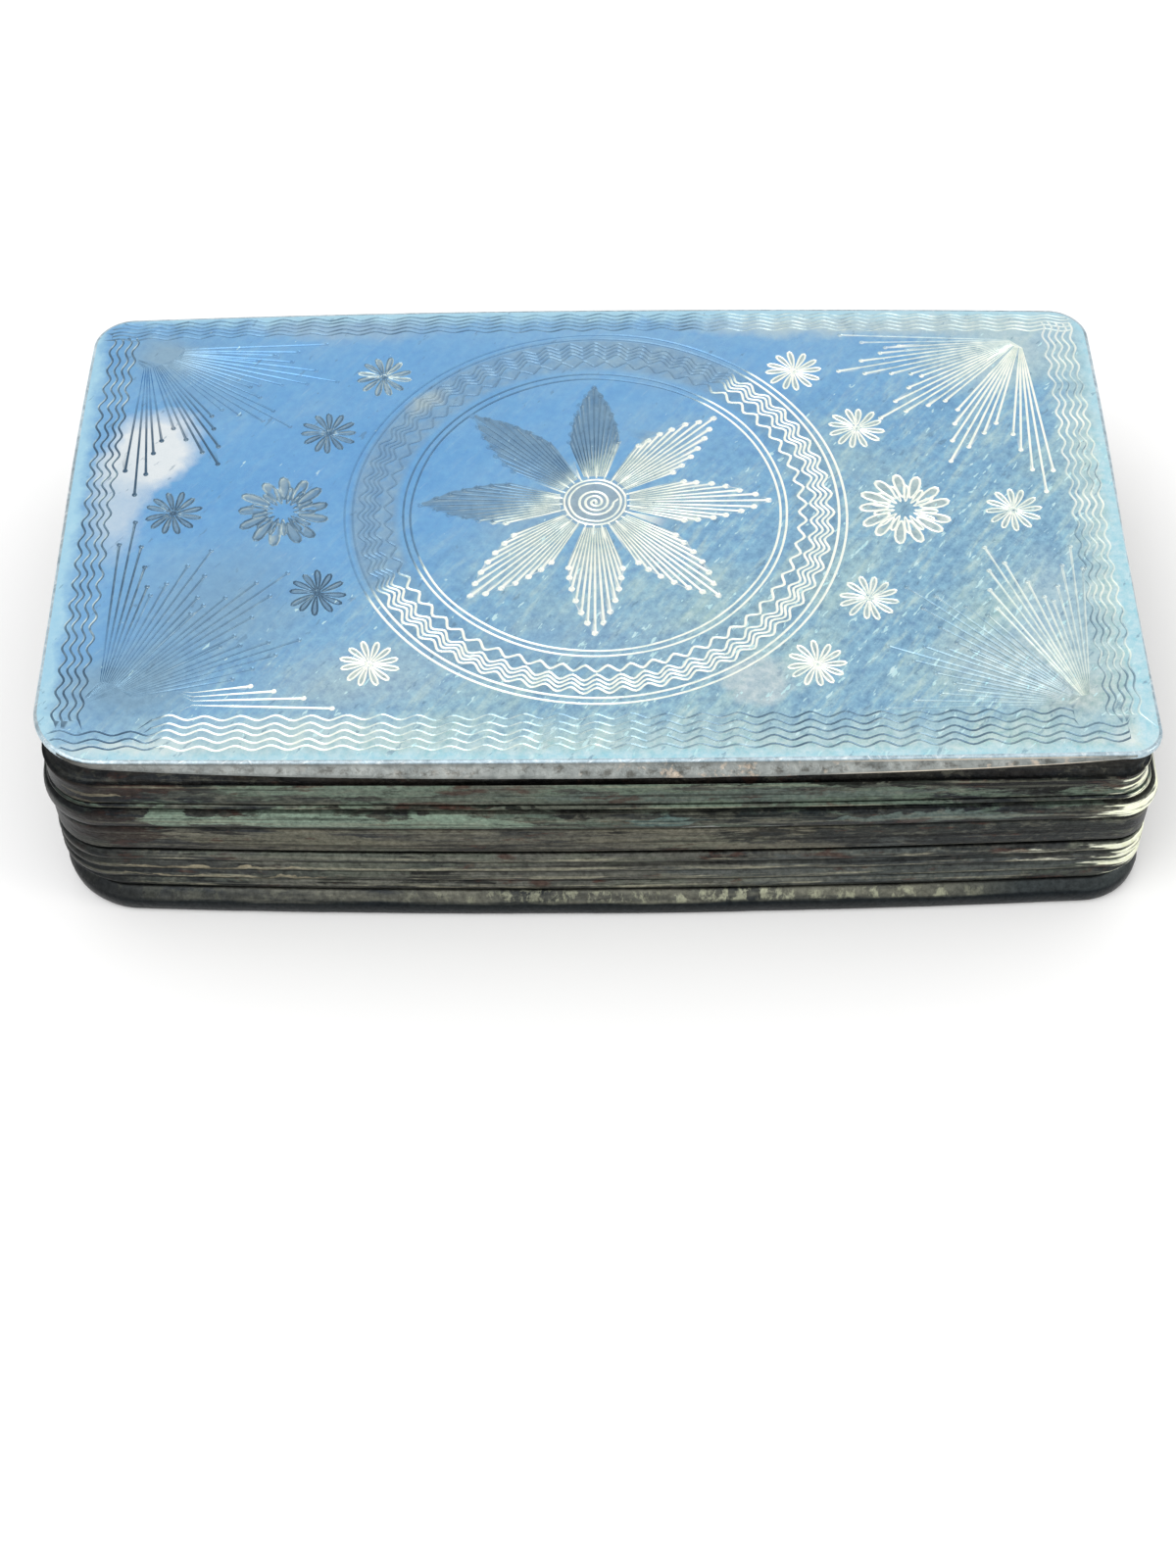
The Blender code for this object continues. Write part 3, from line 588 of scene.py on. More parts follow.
def engraved_lines(metal, tone):
    """Paints the cuts from slate, as painted shade, to cream, as painted highlight, by their tone, with a
    flicker of painted glints along them.
    """
    flicker = metal.cloud(1.1, (0.5, 0.2, 0), detail=4.0)
    lively = metal.sum(tone, metal.swing(flicker, 0.75))
    line = metal.ramp(
        lively,
        (0.08, (0.07, 0.125, 0.19)),
        (0.34, (0.175, 0.275, 0.36)),
        (0.56, (0.54, 0.66, 0.66)),
        (0.74, (0.86, 0.93, 0.84)),
        (0.98, (1.00, 1.00, 0.92)),
    )
    mask = metal.times(metal.rise(metal.vertex("cut"), 0.02, 0.16), metal.vertex("force"))
    metal.tint(mask, line)
    return mask


def lid_surface():
    """Polished, engraved silver with a painted reflection of blue sky and cloud, paler painted reflection
    towards the front right and along the margins, streaks, and cuts painted in highlight and shade.
    """
    metal = Metal("engraved_silver_lid")
    # rubbed marks where the painted sky reflection turns paler towards the front right; it is not wear.
    rubbed, haze = painted_sky_reflection(metal)
    fine = metal.warped(metal.warped(metal.at(), 2.4, 0.30), 1.2, 1.1)
    # Patches of painted sky and cloud reflection, and a painted highlight.
    for centre, radii, turn, edge, share, colour in LID_REFLECTION_PATCHES:
        metal.tint(metal.spot(fine, centre, radii, turn, edge), colour, share)
    pale_margin_reflection(metal, rubbed)
    tone = metal.vertex("tone")
    ring_and_petals(metal, tone)
    hair, grain = flecks_and_scratches(metal, rubbed)
    mask = engraved_lines(metal, tone)
    gloss = metal.blend(mask, metal.ramp(haze, (0.3, 0.27), (0.7, 0.40)), (0.42, 0.42, 0.42))
    dents = metal.cloud(0.12, detail=3.0, rough=0.5)
    height = metal.sum(dents, metal.times(hair, 0.06), metal.times(grain, 0.05))
    return metal.finish(gloss, height, 0.16)


# Side materials

BLACK, NEAR_BLACK = (0.008, 0.008, 0.008), (0.012, 0.013, 0.014)
# The colour of the painted highlight on the front right-hand corner
HIGHLIGHT_CREAM = (0.90, 0.92, 0.74)
ENDS_DARK = ((0.02, 0.0), (0.24, 0.75), (0.55, 1.0), (0.80, 0.25), (1.0, 0.15))
BAND_RIGHT_DARK = ((0.02, 0.15), (0.22, 0.75), (0.55, 1.0), (0.70, 0.90), (0.76, 0.0))
# The second colour is that of painted highlight lines along crests
RUST, CREST_HIGHLIGHT = (0.034, 0.02, 0.016), (0.36, 0.32, 0.22)
# Place along the front and height, reach both ways, colour and share of each large patch
LID_SIDE_PATCHES = (
    ((-17.0, 14.4), (10.0, 0.9), (0.155, 0.205, 0.16), 0.80),
    ((-5.0, 13.5), (11.0, 0.7), (0.125, 0.155, 0.125), 0.60),
    ((11.0, 13.6), (18.0, 0.9), (0.115, 0.148, 0.132), 0.65),
    ((-34.5, 14.7), (7.0, 1.0), RUST, 0.90),
    ((-13.0, 12.5), (10.0, 0.4), BLACK, 0.85),
    # Painted shadow under the right-hand end of the plate
    ((33.0, 15.0), (20.0, 1.6), BLACK, 0.90),
    # Painted highlight lines along crests at the left-hand end
    ((-36.3, 13.7), (2.8, 0.2), CREST_HIGHLIGHT, 0.75),
    ((-36.6, 12.9), (2.2, 0.2), CREST_HIGHLIGHT, 0.75),
)
BEAD_PATCHES = (
    ((-30.3, 11.3), (4.0, 1.2), (0.20, 0.27, 0.21), 0.95),
    ((-21.3, 11.4), (8.5, 1.5), (0.21, 0.28, 0.22), 0.95),
    ((-15.0, 10.9), (12.0, 0.8), (0.19, 0.25, 0.20), 0.90),
    ((-10.4, 11.3), (6.5, 1.2), (0.20, 0.27, 0.21), 0.95),
    ((5.5, 11.3), (3.4, 0.7), (0.10, 0.16, 0.15), 0.80),
    ((13.0, 11.5), (6.0, 0.8), (0.02, 0.026, 0.028), 0.80),
    ((25.0, 11.3), (9.0, 0.8), (0.12, 0.16, 0.145), 0.80),
    # A painted highlight along the bead's lower edge, just above the seam
    ((9.0, 10.4), (5.0, 0.25), (0.50, 0.54, 0.52), 0.80),
    ((-36.0, 11.4), (3.5, 0.9), RUST, 0.80),
)
BODY_SIDE_PATCHES = (
    ((-35.0, 9.0), (4.5, 1.3), RUST, 0.75),
    ((-22.0, 8.6), (9.0, 1.0), (0.15, 0.148, 0.108), 0.55),
    ((27.0, 8.7), (18.0, 2.6), (0.03, 0.034, 0.034), 0.80),
    ((-34.0, 4.6), (14.0, 3.5), (0.03, 0.034, 0.036), 0.55),
    ((22.0, 4.6), (18.0, 3.5), (0.09, 0.102, 0.10), 0.60),
    # Painted highlight lines along the reeds' crests, at the left and the right
    ((-29.0, 5.2), (9.0, 0.3), CREST_HIGHLIGHT, 0.80),
    ((-28.0, 4.1), (9.0, 0.2), CREST_HIGHLIGHT, 0.60),
    ((33.0, 6.2), (3.5, 0.3), (0.62, 0.62, 0.50), 0.70),
    ((33.5, 5.1), (3.0, 0.3), (0.62, 0.62, 0.50), 0.70),
)


def side_metal(name, seed, olive, green, greens, crest, corner_highlight, along=ENDS_DARK, patches=()):
    """Tarnish in patches along the side, nearly black in places, with green areas and rubbed crests; some of
    the listed patches are painted shadow and painted highlights.

    The greens, the crests and the painted corner highlight each have a strength.
    """
    metal = Metal(name)
    plain = metal.at()
    _, depth, level = metal.axes(plain)
    front = metal.ramp(metal.across(metal.warped(plain, 5.0, 0.2)), *along)
    streaks = metal.cloud((0.10, 0.10, 1.1), (seed, 0, seed), warp=(0.7, 0.9), detail=7.0, rough=0.66)
    reeds = metal.rise(metal.times(level, 0.1), 0.73, 0.68)
    shifted = metal.sum(streaks, metal.swing(front, 0.18), metal.times(reeds, 0.04))
    ground = metal.blend(metal.times(reeds, 0.8), olive, (0.08, 0.084, 0.078))
    metal.colour = metal.blend(metal.rise(shifted, 0.38, 0.62), (0.026, 0.03, 0.034), ground)
    blotch = metal.cloud((0.10, 0.10, 0.55), (seed * 3, 1, 2), warp=(1.4, 1.2), detail=7.0, rough=0.68)
    metal.stain(blotch, 0.52, 0.55, green, greens)
    dull = metal.cloud((0.12, 0.12, 0.9), (1, seed * 2, 5), warp=(1.2, 1.0), detail=7.0, rough=0.68)
    metal.stain(dull, 0.55, 0.60, NEAR_BLACK, 0.80)
    front_patches(metal, seed, patches)
    fine_tarnish(metal, seed)
    wear = metal.vertex("wear")
    rub = metal.cloud((0.14, 0.14, 2.2), (2, 1, seed), warp=(0.8, 0.9), detail=6.0, rough=0.65)
    crests = metal.rise(wear, 0.78, 0.98)
    metal.tint(metal.times(crests, metal.rise(rub, 0.50, 0.60)), (0.36, 0.35, 0.26), crest)
    # Blackens where the wear is low: tarnish in the hollows, and painted shade at the top of the body band
    # under the bead and in the cove under the plate.
    metal.stain(wear, 0.25, 0.0, BLACK, 0.85)
    dark_left_end(metal, plain, depth)
    # A painted highlight in streaks on the front right-hand corner.
    if corner_highlight:
        painted_corner_highlight(metal, seed, depth, level, wear, corner_highlight)
    grains = metal.speckle((2.4, 2.4, 2.8), 0.5, 0.10, 0.80)
    roughness = metal.ramp(streaks, (0.3, 0.34), (0.7, 0.52))
    return metal.finish(roughness, metal.sum(metal.times(grains, 0.45), metal.times(blotch, 0.7)), 0.09)


def front_patches(metal, seed, patches):
    """Large patches along the front, ragged and pointed at their ends."""
    x, depth, level = metal.axes(metal.warped(metal.at(), 1.4, 0.5))
    near = metal.near_front(depth, 0.06, 0.12)
    ragged = metal.swing(metal.cloud((0.25, 0.25, 1.2), (seed, 3, 1), detail=7.0, rough=0.68), 2.2)
    for (middle, height), (reach, half), colour, share in patches:
        sideways = metal.times(metal.distance(x, middle), -1 / reach)
        upwards = metal.times(metal.distance(level, height), -1 / half)
        shown = metal.rise(metal.sum(sideways, upwards, ragged, 1.0), 0.0, 0.10)
        metal.tint(metal.times(shown, near), colour, share)


def fine_tarnish(metal, seed):
    """Mottles of about a millimetre, hair lines along the side and reddish-brown spots."""
    mottles = metal.cloud((0.50, 0.50, 1.5), (seed, 2, 6), warp=(0.8, 1.0), detail=6.0, rough=0.70)
    metal.stain(mottles, 0.54, 0.62, (0.21, 0.21, 0.165), 0.30)
    metal.stain(mottles, 0.44, 0.36, NEAR_BLACK, 0.55)
    lines = metal.cloud((0.035, 0.035, 3.0), (seed, 4, 2), warp=(0.5, 0.7), detail=5.0)
    metal.stain(lines, 0.57, 0.61, BLACK, 0.60)
    metal.stain(lines, 0.40, 0.33, (0.20, 0.205, 0.165), 0.45)
    rusty = metal.cloud((0.22, 0.22, 0.8), (3, 1, seed), rough=0.68)
    metal.stain(rusty, 0.59, 0.65, (0.07, 0.034, 0.026), 0.65)


def dark_left_end(metal, plain, depth):
    """The sides go nearly black round the front left-hand corner."""
    end = metal.rise(metal.across(metal.warped(plain, 2.5, 0.3)), 0.10, 0.02)
    metal.tint(metal.times(end, metal.near_front(depth, 0.10, 0.25)), NEAR_BLACK, 0.85)


def painted_corner_highlight(metal, seed, depth, level, wear, corner_highlight):
    """A painted highlight, in streaks, where the front right-hand corner catches the light, but not on the
    body's plain band.
    """
    height = metal.times(level, 0.05)
    start = metal.ramp(height, (0.15, 0.75), (0.30, 0.62), (0.525, 0.50), (0.60, 0.58), (0.725, 0.80))
    past = metal.sum(metal.axes(metal.at())[0], metal.times(start, -10.0), -30.0)
    streaks = metal.cloud((0.18, 0.18, 3.0), (2, 1, seed), warp=(0.5, 0.9), detail=4.0)
    lit = metal.sum(metal.least(metal.times(past, 0.20), 0.62), metal.swing(streaks, 3.4))
    near = metal.near_front(depth, 0.08, 0.16)
    off_band = metal.ramp(height, (0.352, 1.0), (0.36, 0.0), (0.505, 0.0), (0.513, 1.0))
    rubbed = metal.rise(wear, 0.42, 0.55)
    metal.tint(metal.times(metal.rise(lit, 0.30, 0.44), near, off_band, rubbed), HIGHLIGHT_CREAM, corner_highlight)


def lip_metal():
    """The lip: grey, mottled darker along its lower edge, with a few warm flecks."""
    metal = Metal("lip_silver")
    tones = metal.cloud(0.5, detail=6.0, rough=0.65)
    metal.colour = metal.ramp(tones, (0.32, (0.125, 0.14, 0.138)), (0.68, (0.35, 0.37, 0.355)))
    mottles = metal.cloud((0.9, 0.9, 1.6), (0.3, 0.2, 0), warp=(0.8, 0.8), rough=0.7)
    wear = metal.vertex("wear")
    dark = metal.sum(mottles, metal.times(wear, -0.35), 0.26)
    metal.stain(dark, 0.52, 0.66, (0.07, 0.068, 0.058), 0.75)
    warm = metal.cloud((0.7, 0.7, 0.9), (0.5, 0.1, 0.2), rough=0.7)
    across = metal.across(metal.at())
    where = metal.ramp(across, (0.45, 0.15), (0.55, 1.0), (0.90, 1.0), (0.97, 0.0))
    metal.tint(metal.times(metal.rise(warm, 0.56, 0.64), where), (0.56, 0.46, 0.36), 0.65)
    metal.stain(across, 0.34, 0.12, (0.15, 0.16, 0.16), 0.45)
    right = metal.ramp(across, (0.70, 0.0), (0.78, 1.0), (0.94, 1.0), (0.97, 0.0))
    metal.tint(metal.times(right, metal.rise(wear, 0.88, 0.97)), (0.80, 0.70, 0.56), 0.80)
    metal.stain(across, 0.12, 0.03, (0.06, 0.054, 0.046), 0.8)
    return metal.finish(metal.ramp(tones, (0.3, 0.32), (0.7, 0.46)), metal.sum(tones, mottles), 0.09)


def foot_metal():
    """The foot: pale mottling in short upright flecks above, and blue-black painted shade on its lower curve.
    """
    metal = Metal("mottled_foot_silver")
    plain = metal.at()
    _, depth, z = metal.axes(plain)
    across = metal.across(plain)
    level = metal.times(z, 0.4)
    streaks = metal.cloud((0.12, 0.12, 1.1), warp=(0.6, 0.6), detail=6.0)
    ground = metal.ramp(
        across,
        (0.02, (0.034, 0.038, 0.042)),
        (0.25, (0.135, 0.136, 0.114)),
        (0.80, (0.155, 0.156, 0.126)),
        (0.90, (0.042, 0.05, 0.052)),
    )
    metal.colour = metal.blend(metal.rise(streaks, 0.36, 0.58), (0.034, 0.038, 0.04), ground)
    flecks = metal.cloud((0.75, 0.75, 0.35), (0.2, 0, 0.1), warp=(0.8, 1.1), detail=6.0, rough=0.72)
    wavering = metal.sum(level, metal.swing(streaks, 0.3))
    upper = metal.ramp(wavering, (0.62, 0.0), (0.72, 1.0), (0.91, 1.0), (0.97, 0.0))
    where = metal.ramp(across, (0.30, 0.10), (0.42, 0.75), (0.60, 1.0), (0.82, 1.0), (0.88, 0.0))
    metal.tint(metal.times(upper, metal.rise(flecks, 0.50, 0.58), where), (0.34, 0.35, 0.255), 0.9)
    # Painted shade: blue-black on the lower curve of the foot.
    metal.stain(wavering, 0.70, 0.60, (0.013, 0.017, 0.02), 0.95)
    metal.tint(metal.ramp(level, (0.93, 0.0), (0.98, 0.9)), BLACK)
    dark_left_end(metal, plain, depth)
    grains = metal.speckle(2.4, 0.45, (0.12, 0.12, 0.12), (0.78, 0.78, 0.76))
    roughness = metal.ramp(streaks, (0.3, 0.34), (0.7, 0.50))
    return metal.finish(roughness, metal.sum(metal.times(grains, 0.4), metal.times(flecks, 0.8)), 0.10)


def plain_silver(name, low, high, roughness, stain=(0.30, 0.28, 0.24), stained=0.4, scale=0.25):
    """Worn silver: cloudy tones, brown stains, fine mottling and scratches both ways."""
    metal = Metal(name)
    tones = metal.cloud(scale, detail=7.0, rough=0.66)
    metal.colour = metal.ramp(tones, (0.34, low), (0.66, high))
    stains = metal.cloud(0.12, (0.4, 0.1, 0.2), warp=(2.0, 0.3), detail=8.0, rough=0.70)
    metal.stain(stains, 0.50, 0.60, stain, stained)
    one = metal.cloud((0.15, 3.5, 2.0), turn=0.4, warp=(0.5, 0.4), detail=3.0, rough=0.5)
    other = metal.cloud((0.15, 4.0, 2.0), (0.4, 0.2, 0), -0.9, (0.5, 0.4), 3.0, 0.5)
    lines = metal.most(metal.rise(one, 0.61, 0.66), metal.rise(other, 0.62, 0.67))
    metal.tint(lines, (0.86, 0.87, 0.86), 0.35)
    grains = metal.speckle(2.0, 0.30, 0.22, 0.76)
    gloss = metal.ramp(tones, (0.3, roughness - 0.06), (0.7, roughness + 0.10))
    uneven = metal.sum(metal.times(tones, 0.8), metal.times(lines, -0.12), metal.times(grains, 0.25))
    return metal.finish(gloss, uneven, 0.08)


def hinge_metal():
    """The hinge's silver: brushed along the knuckles, darker and browner in patches, pale where it rubs."""
    metal = Metal("hinge_silver")
    tones = metal.cloud((0.30, 0.9, 0.9), warp=(1.0, 0.6), detail=7.0, rough=0.68)
    metal.colour = metal.ramp(
        tones, (0.34, (0.075, 0.076, 0.066)), (0.52, (0.20, 0.20, 0.176)), (0.70, (0.42, 0.42, 0.37))
    )
    tarnish = metal.cloud((0.22, 0.5, 0.5), (0.4, 0.1, 0.2), warp=(1.6, 0.6), detail=7.0, rough=0.70)
    metal.stain(tarnish, 0.50, 0.60, (0.036, 0.036, 0.032), 0.80)
    rusty = metal.cloud((0.5, 0.8, 0.8), (0.1, 0.7, 0.3), detail=6.0, rough=0.70)
    metal.stain(rusty, 0.60, 0.68, (0.09, 0.05, 0.034), 0.50)
    brushed = metal.cloud((0.40, 5.0, 5.0), warp=(0.4, 0.6), detail=4.0)
    metal.stain(brushed, 0.56, 0.66, (0.56, 0.56, 0.50), 0.35)
    metal.stain(brushed, 0.42, 0.32, (0.04, 0.04, 0.036), 0.40)
    grains = metal.speckle(2.6, 0.4, 0.15, 0.78)
    gloss = metal.ramp(tarnish, (0.40, 0.26), (0.60, 0.46))
    return metal.finish(gloss, metal.sum(metal.times(grains, 0.4), metal.times(brushed, 0.3)), 0.08)


def gilding():
    """Gold over silver, thin and greyer where it is rubbed, with tobacco-brown stains."""
    metal = Metal("gilding")
    tones = metal.cloud(0.16, detail=6.0)
    metal.colour = metal.ramp(
        tones, (0.30, (0.62, 0.40, 0.13)), (0.55, (0.79, 0.56, 0.23)), (0.75, (0.86, 0.68, 0.38))
    )
    thin = metal.cloud((0.10, 0.10, 0.22), (0.2, 0.3, 0), warp=(2.0, 0.3), detail=6.0, rough=0.65)
    metal.stain(thin, 0.56, 0.70, (0.66, 0.64, 0.58), 0.6)
    brown = metal.cloud((0.2, 0.2, 0.3), (0, 0.8, 0.3), warp=(2.0, 0.5), detail=6.0, rough=0.7)
    metal.stain(brown, 0.55, 0.70, (0.23, 0.13, 0.05), 0.45)
    lines = metal.cloud((0.3, 6.0, 2.0), turn=0.15, warp=(0.5, 0.4), detail=2.0, rough=0.5)
    gloss = metal.ramp(brown, (0.35, 0.26), (0.7, 0.46))
    return metal.finish(gloss, metal.sum(tones, metal.times(lines, 0.10)), 0.06)


# Engraving

# The tone of a cut, from slate to cream, is painted shade and painted highlight; LIGHT_FROM is the way, in
# plan, from which that painted light comes.
LIGHT_FROM = Vector((0.45, -0.89))
WAVES_ROUND = 59
# Place, tone (painted light, slate to cream) and strength of each looped daisy
SMALL_DAISIES = (
    ((16.1, 16.1), 0.95, 1.0),
    ((20.7, 9.75), 0.90, 1.0),
    ((32.1, 0.95), 0.85, 1.0),
    ((20.6, -7.85), 0.90, 0.95),
    ((16.4, -14.2), 0.95, 1.0),
    ((-16.4, 15.85), 0.45, 0.9),
    ((-20.45, 9.7), 0.22, 0.8),
    ((-31.9, 1.3), 0.18, 0.95),
    ((-20.45, -6.9), 0.15, 0.9),
    ((-16.3, -13.85), 1.0, 1.0),
)
LARGE_DAISIES = (((23.85, 1.1), 0.95, 1.0), ((-23.5, 1.4), 0.32, 0.85))
# Apex of each corner fan, the way round in which its groups follow, whether its strokes fade towards
# the apex, and direction, start, length, tone and strength of each group
FANS = (
    ((34.4, 19.4), -1, False, (
        (271.5, 0.9, 16.6, 0.95, 1.0),
        (243.5, 0.9, 14.8, 0.95, 1.0),
        (216.0, 0.9, 14.4, 0.90, 1.0),
        (193.0, 0.9, 15.2, 0.85, 0.9),
        (177.0, 0.9, 14.4, 0.75, 0.55),
    )),
    ((-35.5, 19.05), 1, True, (
        (271.5, 2.0, 15.7, 0.05, 1.0),
        (298.0, 2.0, 14.4, 0.10, 0.9),
        (324.0, 2.5, 14.6, 0.16, 0.42),
        (346.5, 3.0, 15.8, 0.16, 0.24),
        (362.0, 3.0, 14.3, 0.20, 0.14),
    )),
    ((35.84, -18.15), 1, False, (
        (89.5, 0.9, 15.4, 0.66, 0.65),
        (112.5, 0.9, 16.6, 0.72, 0.75),
        (137.5, 1.5, 16.8, 0.40, 0.5),
        (158.0, 1.5, 15.0, 0.35, 0.35),
        (181.0, 1.5, 14.6, 0.60, 0.30),
    )),
    ((-35.8, -17.35), -1, True, (
        (86.5, 2.0, 17.8, 0.15, 0.85),
        (64.3, 2.0, 16.4, 0.22, 0.5),
        (43.5, 2.0, 17.9, 0.25, 0.45),
        (22.0, 2.5, 15.3, 0.20, 0.45),
        (-2.3, 6.9, 17.0, 1.0, 1.0),
    )),
)
FAN_TURNS = (0.0, 3.2, -3.2, 6.5, -6.5, 9.8, -9.8)
FAN_SHARES = (1.0, 0.87, 0.86, 0.745, 0.74, 0.65, 0.64)
PETAL_HEADINGS = (0.2, 43.4, 90.4, 135.9, 180.7, 225.4, 270.0, 313.8)
PETAL_SHARES = (1.0, 0.965, 0.935, 1.0, 1.0, 1.0, 1.0, 1.0)
PETAL_TURNS = (0.0, 2.8, 5.6, 8.4, 11.2, 14.0, 16.5)
PETAL_START, PETAL_HALF_ANGLE = 2.75, 17.8
# Tone (painted light, slate to cream) and strength along the borders, as stops of place and value
FRONT_TONES = ((-32.5, 0.15), (-30, 0.95), (-18, 1.0), (-12, 0.75), (0, 0.65), (7, 0.35), (12, 0.2))
FRONT_FORCES = ((-34, 0.9), (-20, 0.95), (-12, 0.55), (4, 0.5), (9, 0.85), (40, 0.75))
BACK_TONES = ((-40, 0.2), (5, 0.15), (13, 0.75), (40, 0.75))
RIGHT_TONES = ((-20, 0.45), (-8, 0.50), (2, 0.75), (22, 0.85))
# Name, first and last place along the side, insets of the lines, number, height and split of the waves,
# then the stops of their tone and of their strength, each with its drift's amount, zoom and seed
BORDERS = (
    (
        "front", (-38.4, 37.6), (4.15, 3.45, 2.75, 2.05, 1.38), 30, 0.24, 0.40,
        (FRONT_TONES, (0.35, 1, 9.0)), (FRONT_FORCES, (0.3, 2, 2.0)),
    ),
    (
        "back", (38.6, -38.6), (2.35, 1.93, 1.51, 1.09, 0.70), 30, 0.15, 0.40,
        (BACK_TONES, (0.2, 1, 4.0)), (((0, 0.65),), (0.3, 2, 2.0)),
    ),
    (
        "left", (20.8, -19.2), (3.40, 2.80, 2.20, 1.62), 19, 0.22, -0.55,
        (((0, 0.22),), (0.3, 1, 4.0)), (((0, 0.95),), (0, 1, 0)),
    ),
    (
        "right", (-19.4, 21.6), (3.50, 2.96, 2.42, 1.88, 1.34), 19, 0.20, 0.40,
        (RIGHT_TONES, (0.6, 2, 4.0)), (((0, 0.75),), (0.4, 1, 6.0)),
    ),
)
# A point of the line that parts the slate cuts, painted as shade, from the cream ones, painted as lit, its
# slope and how wide the change is
TONE_EDGE, TONE_SLOPE, TONE_WIDTH = (-15.1, -5.9), 0.8125, 4.0
# Depth of a cut, the step of the samples along it and how far from a point a cut is looked for
CUT_DEPTH, SAMPLE_STEP, CUT_SEARCH = 0.05, 0.05, 0.2

cuts = []
guides = []


def direction(degrees):
    """A unit vector in plan."""
    angle = math.radians(degrees)
    return Vector((math.cos(angle), math.sin(angle)))


def tone_at(x, y):
    """How bright a cut looks, as painted light: slate, as painted shade, to the back left, cream, as painted
    highlight, to the front right.
    """
    divide = TONE_EDGE[1] + TONE_SLOPE * (x - TONE_EDGE[0]) - y
    return held(0.5 + divide / TONE_WIDTH, 0.08, 0.95)


def force_at(x, y, least=0.24):
    """Cuts in the slate part, painted as in shade, are dull and stand out less."""
    return least + (1 - least) * held((tone_at(x, y) - 0.2) / 0.4)


def rim_force(x, y):
    """The two inner circles of the double ring stay plainer in the slate part than the waves do."""
    return force_at(x, y, 0.55)


def petal_force(x, y):
    """The cuts of the slate-coloured petals hardly show."""
    return 0.30 + 0.65 * held((tone_at(x, y) - 0.3) / 0.3)


def swirl(x, y, seed):
    """A slow drift over the lid."""
    return smooth_noise(x * 0.16, y * 0.16, seed)


def border_value(where, stops, swirling, x, y):
    """A border's tone or strength at a place: the stops along its side and a slow drift over them."""
    amount, zoom, seed = swirling
    return between(x if where in ("front", "back") else y, stops) + amount * swirl(x * zoom, y * zoom, seed)


def cut(
    points, half, closed=False, depth=CUT_DEPTH, tone=tone_at, force=force_at, split=0.45, filled=False
):
    """One cut along a line of points, with a half width or one at each point.

    The tone and force are numbers or functions of the place; the tone is painted highlight and shade. The
    split paints the edge of the cut towards LIGHT_FROM paler, as painted highlight, and the other edge
    darker, as painted shade.
    """
    if not hasattr(half, "__len__"):
        half = [half] * len(points)
    cuts.append(([Vector(p) for p in points], list(half), closed, depth, tone, force, split, filled))


def circle(centre, radius, count, half, wander=0.0, **how):
    """A cut ring that wanders a little."""
    points = []
    for step in range(count):
        way = direction(360 * step / count)
        points.append(centre + way * (radius + wander * smooth_noise(way.x * 2, way.y * 2, radius)))
    cut(points, half, True, **how)


def polar_wave(radius, height, half, phase=0.0, sharp=0.65):
    """A wavy ring about the lid's centre; the sharper, the more like a zigzag."""
    points = []
    count = WAVES_ROUND * 8
    for step in range(count):
        way = direction(360 * step / count)
        wave = math.sin(WAVES_ROUND * 2 * math.pi * step / count + phase)
        zigzag = 2 / math.pi * math.asin(wave * 0.96)
        reach = radius + height * (sharp * zigzag + (1 - sharp) * wave)
        reach += 0.08 * smooth_noise(way.x * 9, way.y * 9, radius)
        points.append(CENTRE + way * reach)
    cut(points, half, True)


def stroke(start, way, first, last, half, spread, dot, **how):
    """A straight cut that starts fine, widens and ends in a punched dot."""
    steps = max(3, int((last - first) / 1.8))
    points, halves = [], []
    for step in range(steps + 1):
        reach = first + (last - first) * (step / steps) ** 1.3
        points.append(start + way * reach)
        halves.append(min(half, max(0.012, spread * (reach - first + 0.9))))
    cut(points, halves, **how)
    tip = start + way * last
    cut([tip + direction(360 * k / 7) * dot * 0.45 for k in range(7)], dot * 0.6, True, **how)


def petal_reach(number, off):
    """How far one of the rosette's petals reaches at an angle off its middle line."""
    return (13.3 - 0.377 * abs(off)) * PETAL_SHARES[number]


def petal_fill(spot):
    """The ground of the petals: full in the slate ones, thinner towards the tips of the bright ones."""
    arm = spot - EYE
    turned = (math.degrees(math.atan2(arm.y, arm.x)) + 22.5) % 360
    off = turned % 45 - 22.5
    if not 2.7 < arm.length < petal_reach(int(turned // 45) % 8, off) + 0.1 or abs(off) > 18.5:
        return 0.0
    bright = held((tone_at(spot.x, spot.y) - 0.3) / 0.3)
    return 1.0 - 0.75 * bright * held((arm.length - 4.0) / 6.0)


def petals():
    """The rosette's eight petals, each a sheaf of strokes, and the outlines of their grounds."""
    for number, heading in enumerate(PETAL_HEADINGS):
        for index, off in enumerate(PETAL_TURNS):
            for side in (1,) if index == 0 else (1, -1):
                wobble = smooth_noise(number * 3.1, index * side * 1.7, 0.5)
                way = direction(heading + side * off + wobble * 0.5)
                reach = petal_reach(number, off) + wobble * 0.2
                stroke(EYE, way, PETAL_START, reach, 0.105, 0.0180, 0.27, force=petal_force)
        for grow in (0.02, 0.16):
            outline = []
            for step in range(-9, 10):
                off = step / 9 * (PETAL_HALF_ANGLE + grow * 6)
                outline.append(EYE + direction(heading + off) * (petal_reach(number, off) + 0.05 + grow))
            for off in (PETAL_HALF_ANGLE + grow * 12, -PETAL_HALF_ANGLE - grow * 12):
                outline.append(EYE + direction(heading + off) * (PETAL_START - grow))
            guides.append((outline, grow < 0.1))


